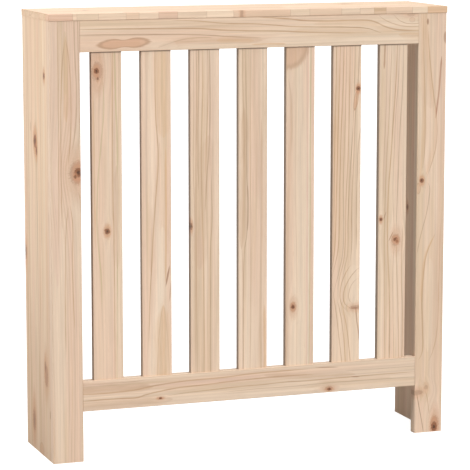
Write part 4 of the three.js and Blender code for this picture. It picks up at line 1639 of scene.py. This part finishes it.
@dataclass(frozen=True)
class BeechFinish:
    """Turned beech: pinkish tan with short darker flecks, as linear light."""

    pale: Colour = (0.620, 0.400, 0.240, 1.0)
    dark: Colour = (0.480, 0.280, 0.155, 1.0)
    fleck: Colour = (0.300, 0.150, 0.075, 1.0)
    roughness: float = 0.62
    seed: float = 71.0

    def material(self, fibres: Tree) -> Material:
        """Makes the material, with the fibres that the pine uses too."""
        w = Surface("turned beech", self.pale)
        place = w.node("ShaderNodeTexCoord").outputs["Object"]
        grain = w.group(fibres, Place=place, Seed=self.seed)
        fleck = w.rise(w.noise(w.scaled(place, 1400.0)), 0.60, 0.70)
        wood = w.mix(grain["Band"], self.pale, self.dark)
        wood = w.mix(w.times(fleck, 0.6), wood, self.fleck)
        gloss = w.add(w.times(fleck, 0.15), self.roughness)
        relief = w.add(w.times(grain["Fibre"], 0.6), w.times(fleck, -0.8))
        return w.finished(Base_Color=wood, Roughness=gloss, Normal=w.bump(relief, 0.3, 0.0002))


@dataclass(frozen=True)
class ZincFinish:
    """Bright zinc plate: cloudy blue-white metal with fine scratches and duller spots."""

    name: str
    cloud: float = 260.0  # how small the clouds of the plating are
    scratch: float = 0.10
    roughness: float = 0.30
    bright: Colour = (0.690, 0.705, 0.715, 1.0)
    dull: Colour = (0.470, 0.490, 0.500, 1.0)
    stain: Colour = (0.300, 0.290, 0.260, 1.0)

    @staticmethod
    def plating() -> Tree:
        """The shared pattern of the plating: clouds, spots and scratches."""
        recipe = NodeRecipe("Zinc plating")
        w = recipe.wiring
        place, cloud = recipe.takes(vector="Place", value="Cloud_Scale")
        clouds = w.node("ShaderNodeTexVoronoi", feature="SMOOTH_F1", Vector=place, Scale=cloud)
        soft = w.noise(w.scaled(place, 420.0), detail=3.0)
        x, y, z = w.parts(place)
        stroke = w.vector(w.times(w.add(x, y), 2600.0), w.times(w.less(x, y), 240.0), w.times(z, 240.0))
        return recipe.gives(
            Clouds=w.add(w.times(clouds.outputs["Distance"], 0.5), w.times(soft, 0.5)),
            Spots=w.rise(w.noise(w.scaled(place, 900.0)), 0.64, 0.74),
            Scratches=w.rise(w.noise(stroke), 0.62, 0.70),
        )

    def material(self, plating: Tree) -> Material:
        """Makes the material with the shared plating."""
        w = Surface(self.name, self.bright)
        place = w.node("ShaderNodeTexCoord").outputs["Object"]
        clouds, spots, scratches = w.group(plating, Place=place, Cloud_Scale=self.cloud).values()
        metal = w.mix(w.rise(clouds, 0.30, 0.62), self.bright, self.dull)
        metal = w.mix(w.times(spots, 0.45), metal, self.stain)
        metal = w.mix(w.times(scratches, self.scratch), metal, self.bright)
        gloss = w.add(
            self.roughness, w.times(clouds, 0.22), w.times(spots, 0.25), w.times(scratches, -0.08)
        )
        relief = w.add(w.times(clouds, 0.4), w.times(scratches, -0.5))
        return w.finished(
            Base_Color=metal, Metallic=1.0, Roughness=gloss, Normal=w.bump(relief, 0.2, 0.0001)
        )


@dataclass
class DowelRows:
    """The fluted beech dowels that line the boards up, in one row for each way that they point."""

    nodes: Iterable[str]
    chamfer: float = 1.0 * MM
    bore_fit: float = 0.1 * MM
    flutes: float = 12.0
    flute_depth: float = 0.22 * MM
    twist: float = 35.0  # how far the flutes turn, in radians for each metre
    sides: int = 48

    ROWS = ("rail_dowels", "panel_dowels", "top_dowels")  # along X, along Y and along Z

    def __post_init__(self) -> None:
        """Finds the dowels among the construction's pieces."""
        self.boxes = {node: Box.of(node) for node in sorted(self.nodes) if node.endswith("_dowel")}

    def fittings(self) -> list[Fitting]:
        """The dowels as what the boards are bored for."""
        return [Fitting(box, min(box.size) / 2 + self.bore_fit) for box in self.boxes.values()]

    def _tree(self) -> Tree:
        """Turns one fluted dowel with chamfered ends and puts a copy on each point."""
        recipe = NodeRecipe("Fluted dowels", "GeometryNodeTree")
        w = recipe.wiring
        middles, diameter, length, chamfer, flutes, depth, twist, sides, rings, axis, beech = recipe.takes(
            geometry="Middles", value="Diameter Length Chamfer Flutes Flute_Depth Twist",
            count="Sides Rings", vector="Axis", finish="Beech",
        )
        radius = w.over(diameter, 2.0)
        x, y, z = w.parts(w.first("GeometryNodeInputPosition"))
        from_end = w.less(w.over(length, 2.0), w.math("ABSOLUTE", z))
        turned = w.times(flutes, w.add(w.math("ARCTAN2", y, x), w.times(twist, z)))
        groove = w.math("POWER", w.times(w.add(w.math("COSINE", turned), 1.0), 0.5), 2.0)
        taper = w.math("MAXIMUM", w.less(chamfer, from_end), 0.0)
        share = w.less(1.0, w.over(w.add(w.times(groove, depth), taper), radius))
        dowel = w.lathed(w.rod(sides, radius, length, rings), share, z)
        turn = w.first("FunctionNodeAlignRotationToVector", axis="Z", Vector=axis)
        return recipe.gives(Dowels=w.dressed(w.repeated(middles, dowel, turn), beech))

    def build(self, fibres: Tree) -> None:
        """Turns the dowels, one piece for each row."""
        tree = self._tree()
        beech = BeechFinish().material(fibres)
        for axis, name in enumerate(self.ROWS):
            row = {node: box for node, box in self.boxes.items() if box.long_axis == axis}
            middles = [box.centre for box in row.values()]
            diameter, _, length = sorted(next(iter(row.values())).size)
            piece = grown(
                name, tree, self, middles, Diameter=diameter, Length=length,
                Rings=round(length / self.chamfer), Axis=unit(axis), Beech=beech,
            )
            settle(shade(piece), list(row))


@dataclass(frozen=True)
class Corner:
    """An inner corner with a bracket: the bracket's name and the way that each leg goes."""

    bracket: str
    first_leg: Vector
    second_leg: Vector

    @property
    def place(self) -> Vector:
        """Where the bracket's outer faces meet, in the middle of its width."""
        box = Box.of(self.bracket)
        return box.centre - box.size / 2 * (self.first_leg + self.second_leg)

    @property
    def screws(self) -> dict[str, Vector]:
        """The bracket's two screws, and the way that each one's head faces."""
        first_board = "stile" if "_stile_" in self.bracket else "top"
        return {
            f"{self.bracket}_screw_into_{first_board}": self.second_leg,
            f"{self.bracket}_screw_into_panel": self.first_leg,
        }


@dataclass
class CornerFixings:
    """The steel angle brackets in the inner corners, and the wood screws that hold them."""

    nodes: Iterable[str]
    plate: float = 2.0 * MM
    inner_bend: float = 1.5 * MM
    end_radius: float = 5.0 * MM
    end_steps: int = 6
    hole: float = 4.4 * MM
    hole_distance: float = 18.0 * MM
    plate_steps: int = 110
    round_steps: int = 32
    head: float = 7.0 * MM
    head_height: float = 2.4 * MM
    head_rim: float = 0.8 * MM
    recess: float = 3.6 * MM
    recess_slot: float = 0.9 * MM
    recess_depth: float = 1.3 * MM
    core: float = 2.3 * MM
    thread: float = 3.4 * MM
    thread_pitch: float = 1.3 * MM
    point: float = 3.0 * MM
    tip: float = 0.2 * MM
    pilot_fit: float = 0.1 * MM
    turns_seed: int = 7

    SHANK_SIDES, SHANK_RINGS = 20, 72  # round it and along it
    HEAD_SIDES, HEAD_RINGS = 40, 12
    CROWN = 0.86  # how far a head rounds in towards its top
    RECESS_WIDTH, RECESS_TAPER = 0.85, 0.7  # the share of its width at the top, and its taper
    THREAD_FLANK = (0.02, 0.30)  # where a thread's flank begins and ends, in turns from its ridge

    def __post_init__(self) -> None:
        """Finds the corners that hold a bracket."""
        self.corners = []
        for bracket in sorted(node for node in self.nodes if node.endswith("_bracket")):
            inwards = unit(0) if bracket.startswith("left") else -unit(0)
            along_panel = unit(1) if "_stile_" in bracket else -unit(2)
            self.corners.append(Corner(bracket, inwards, along_panel))

    def fittings(self) -> list[Fitting]:
        """The screws as what the boards are bored for."""
        pilot = self.thread / 2 + self.pilot_fit
        return [Fitting(Box.of(screw), pilot) for corner in self.corners for screw in corner.screws]

    def _bracket_tree(self) -> Tree:
        """Cuts a plate with round corners and two holes, bends it and puts a copy in each corner."""
        recipe = NodeRecipe("Angle brackets", "GeometryNodeTree")
        w = recipe.wiring
        corners, leg, width, plate, inner_bend, end_radius, hole, hole_distance, *rest = recipe.takes(
            geometry="Corners", value="Leg Width Plate Inner_Bend End_Radius Hole Hole_Distance",
            count="Plate_Steps End_Steps Round_Steps", finish="Zinc",
        )
        plate_steps, end_steps, round_steps, zinc = rest
        outer_bend = w.add(inner_bend, plate)
        half_plate = w.over(plate, 2.0)
        half_arc = w.times(w.add(inner_bend, half_plate), math.pi / 4)
        reach = w.add(w.less(leg, outer_bend), half_arc)
        blank = w.block(w.times(reach, 2.4), w.times(width, 1.4), plate, plate_steps)
        stamp = w.bar(w.times(reach, 2.0), width, w.times(plate, 3.0), end_radius, end_steps)
        shaped = w.joined("INTERSECT", blank, stamp)
        drill = w.rod(round_steps, w.over(hole, 2.0), w.times(plate, 4.0))
        hole_at = w.add(w.less(hole_distance, outer_bend), half_arc)
        holes = w.row(2, w.vector(hole_at), w.vector(w.times(hole_at, -2.0)))
        flat = w.joined("DIFFERENCE", shaped, w.repeated(holes, drill))

        x, y, z = w.parts(w.first("GeometryNodeInputPosition"))
        in_bend = w.math("MINIMUM", w.math("MAXIMUM", x, w.times(half_arc, -1.0)), half_arc)
        beyond = w.less(x, in_bend)
        turn = w.times(w.over(w.less(half_arc, in_bend), half_arc), math.pi / 4)
        radius = w.less(outer_bend, w.add(z, half_plate))
        ahead = w.add(outer_bend, w.math("MAXIMUM", beyond, 0.0))
        above = w.less(outer_bend, w.math("MINIMUM", beyond, 0.0))
        along = w.less(ahead, w.times(radius, w.math("SINE", turn)))
        up = w.less(above, w.times(radius, w.math("COSINE", turn)))
        lie = w.first(
            "FunctionNodeAxesToRotation", w.named("first leg"), w.named("second leg"),
            primary_axis="X", secondary_axis="Z",
        )
        bent = w.moved(flat, w.vector(along, y, up))
        return recipe.gives(Brackets=w.dressed(w.repeated(corners, bent, lie), zinc))

    def _screw_tree(self) -> Tree:
        """Makes a wood screw with a cut thread and a cross recess, and puts a copy on each point."""
        recipe = NodeRecipe("Wood screws", "GeometryNodeTree")
        w = recipe.wiring
        seats, core, thread, thread_pitch, shank_length, point, tip, head, *rest = recipe.takes(
            geometry="Seats",
            value="Core Thread Thread_Pitch Shank_Length Point Tip Head Head_Height Head_Rim"
            " Recess Recess_Slot Recess_Depth",
            count="Turns_Seed", finish="Zinc",
        )
        head_height, rim, recess, recess_slot, recess_depth, turns_seed, zinc = rest
        x, y, z = w.parts(w.first("GeometryNodeInputPosition"))

        sunk = w.over(rim, 2.0)  # how far the shank goes up into the head
        rod_length = w.add(shank_length, sunk)
        height = w.less(z, w.less(w.over(rod_length, 2.0), sunk))
        turns = w.add(w.over(height, thread_pitch), w.over(w.math("ARCTAN2", y, x), math.tau))
        ridge = w.fade(w.math("PINGPONG", turns, 0.5), *self.THREAD_FLANK)
        neck = w.fade(height, w.times(thread_pitch, -0.8), 0.0)
        cut = w.times(w.less(thread, core), 0.5, ridge, neck)
        sharp = w.math("MINIMUM", w.over(w.add(height, shank_length, tip), point), 1.0)
        girth = w.times(w.add(w.over(core, 2.0), cut), w.math("POWER", sharp, 0.8))
        shank = w.lathed(w.rod(self.SHANK_SIDES, 1.0, rod_length, self.SHANK_RINGS), girth, height)

        level = w.add(z, w.over(head_height, 2.0))
        over_rim = w.over(w.math("MAXIMUM", w.less(level, rim), 0.0), w.less(head_height, rim))
        crown = w.math("SQRT", w.less(1.0, w.times(over_rim, over_rim, self.CROWN)))
        knob = w.rod(self.HEAD_SIDES, 1.0, head_height, self.HEAD_RINGS)
        dome = w.lathed(knob, w.times(crown, w.over(head, 2.0)), level)

        depth = w.times(recess_depth, 2.0)
        cross = w.joined("UNION", w.block(recess, recess_slot, depth), w.block(recess_slot, recess, depth))
        narrow = w.add(w.times(w.over(z, depth), self.RECESS_TAPER), self.RECESS_WIDTH)
        bit = w.lathed(cross, narrow, w.add(z, head_height))
        screw = w.joined("DIFFERENCE", w.joined("UNION", dome, shank), bit)

        out = w.first("FunctionNodeAlignRotationToVector", axis="Z", Vector=w.named("outwards"))
        spin = w.node("FunctionNodeRandomValue", data_type="FLOAT", Max=math.tau, Seed=turns_seed)
        spun = w.first("FunctionNodeAxisAngleToRotation", Axis=(0.0, 0.0, 1.0), Angle=spin.outputs[1])
        turn = w.first("FunctionNodeRotateRotation", out, spun, rotation_space="LOCAL")
        return recipe.gives(Screws=w.dressed(w.repeated(seats, screw, turn), zinc))

    def build(self) -> None:
        """Makes the brackets and their screws."""
        plating = ZincFinish.plating()
        brackets = [corner.bracket for corner in self.corners]
        width, _, leg = sorted(Box.of(brackets[0]).size)
        steel = grown(
            "angle_brackets", self._bracket_tree(), self, [corner.place for corner in self.corners],
            {
                "first leg": [corner.first_leg for corner in self.corners],
                "second leg": [corner.second_leg for corner in self.corners],
            },
            Leg=leg, Width=width, Zinc=ZincFinish("zinc plate").material(plating),
        )
        settle(shade(steel), brackets)

        screws = {name: out for corner in self.corners for name, out in corner.screws.items()}
        boxes = [Box.of(name) for name in screws]
        length = max(boxes[0].size)
        seats = [
            box.centre + out * (length / 2 - self.head_height) for box, out in zip(boxes, screws.values())
        ]
        bolts = grown(
            "wood_screws", self._screw_tree(), self, seats, {"outwards": list(screws.values())},
            Shank_Length=length - self.head_height,
            Zinc=ZincFinish("zinc screws", cloud=600.0, scratch=0.25, roughness=0.26).material(plating),
        )
        settle(shade(bolts), list(screws))


# Floor, light and camera


@dataclass
class Studio:
    """A plain pale floor, soft light and the camera."""

    aim: tuple[float, float, float] = (-0.0032, 0.0, 0.4001)
    distance: float = 4.6
    from_left: float = 19.8  # degrees that the camera stands round to the left
    above: float = 8.725  # degrees that it looks down
    lens: float = 181.8
    sensor: float = 36.0
    sight: float = 200.0
    floor_half: float = 60.0
    floor_colour: Colour = (0.42, 0.42, 0.42, 1.0)
    floor_glow: float = 0.85  # what the floor shows of itself, so that only shadows darken it
    white: Colour = (1.0, 1.0, 1.0, 1.0)
    fill: float = 0.27  # how much light comes from all round
    left_side: tuple[float, float, float] = (-0.4, 0.0, 0.55)  # what the near lamp shines on

    def place_camera(self) -> None:
        """Stands the camera where the photograph was taken from."""
        turn, drop = math.radians(self.from_left), math.radians(self.above)
        forward = Vector(
            (math.sin(turn) * math.cos(drop), math.cos(turn) * math.cos(drop), -math.sin(drop))
        )
        camera = object_of("camera", bpy.data.cameras.new("camera"))
        camera.data.lens = self.lens
        camera.data.sensor_width = self.sensor
        camera.data.clip_end = self.sight
        camera.location = Vector(self.aim) - forward * self.distance
        camera.rotation_euler = forward.to_track_quat("-Z", "Y").to_euler()
        bpy.context.scene.camera = camera

    def light_world(self) -> None:
        """Fills the shadows from all round, and shows white behind the cabinet."""
        world = bpy.data.worlds.new("studio")
        bpy.context.scene.world = world
        world.use_nodes = True
        w = Wiring(world.node_tree)
        background = world.node_tree.nodes["Background"]
        w.feed(background.inputs["Color"], self.white)
        w.feed(background.inputs["Strength"], w.add(w.times(w.seen(), 1.0 - self.fill), self.fill))

    def lay_floor(self) -> None:
        """Lays a pale floor that shows white and keeps the cabinet's soft shadow."""
        shape = bmesh.new()
        bmesh.ops.create_grid(shape, x_segments=1, y_segments=1, size=self.floor_half)
        floor = moulded("floor", shape)
        w = Surface("floor", self.floor_colour)
        material = w.finished(
            Base_Color=self.floor_colour, Roughness=0.9, Specular_IOR_Level=0.0,
            Emission_Color=self.white, Emission_Strength=w.times(w.seen(), self.floor_glow),
        )
        floor.data.materials.append(material)

    @staticmethod
    def sun(name: str, towards: Sequence[float], strength: float, softness: float) -> None:
        """Adds a soft sun.

        Args:
            name: The lamp's name.
            towards: The direction from the cabinet to the lamp.
            strength: What it adds to a face turned to it, 1 being full light.
            softness: The lamp's width as it is seen, in degrees.
        """
        lamp = object_of(name, bpy.data.lights.new(name, "SUN"))
        lamp.data.energy = strength * math.pi
        lamp.data.angle = math.radians(softness)
        lamp.rotation_euler = Vector(towards).to_track_quat("Z", "Y").to_euler()

    def near_lamp(self, name: str, place: Sequence[float], size: float, strength: float) -> None:
        """Adds a square lamp that shines on the cabinet's left side.

        Args:
            name: The lamp's name.
            place: Where it hangs.
            size: Its side.
            strength: What it adds to a face turned to it, at the cabinet's left side.
        """
        reach = Vector(place) - Vector(self.left_side)
        lamp = object_of(name, bpy.data.lights.new(name, "AREA"))
        lamp.data.size = size
        lamp.data.energy = strength * math.pi**2 * reach.length**2
        lamp.location = place
        lamp.rotation_euler = reach.to_track_quat("Z", "Y").to_euler()
        lamp.visible_camera = False

    def build(self) -> None:
        """Sets up everything round the cabinet."""
        self.place_camera()
        self.lay_floor()
        self.light_world()
        self.sun("front light", (0.28, -0.77, 0.57), 0.72, 35)
        self.sun("top light", (0.0, 0.0, 1.0), 0.44, 50)
        self.near_lamp("left light", (-2.0, -0.20, 1.30), 0.35, 0.62)
        self.sun("back light", (0.0, 0.95, 0.30), 0.26, 12)
        bpy.context.scene.view_settings.view_transform = "Standard"


def main() -> None:
    """Builds the studio and the cabinet."""
    logging.basicConfig(level=logging.INFO, format="%(name)s: %(message)s")
    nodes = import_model()["nodes"]
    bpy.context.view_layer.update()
    Studio().build()
    shop = PineShop()
    dowels = DowelRows(nodes)
    fixings = CornerFixings(nodes)
    slats = SlatRow(shop)
    Boards(shop, dowels.fittings() + fixings.fittings(), slats.tenons()).build()
    slats.build()
    dowels.build(shop.fibre)
    fixings.build()


if __name__ == "__main__":
    main()
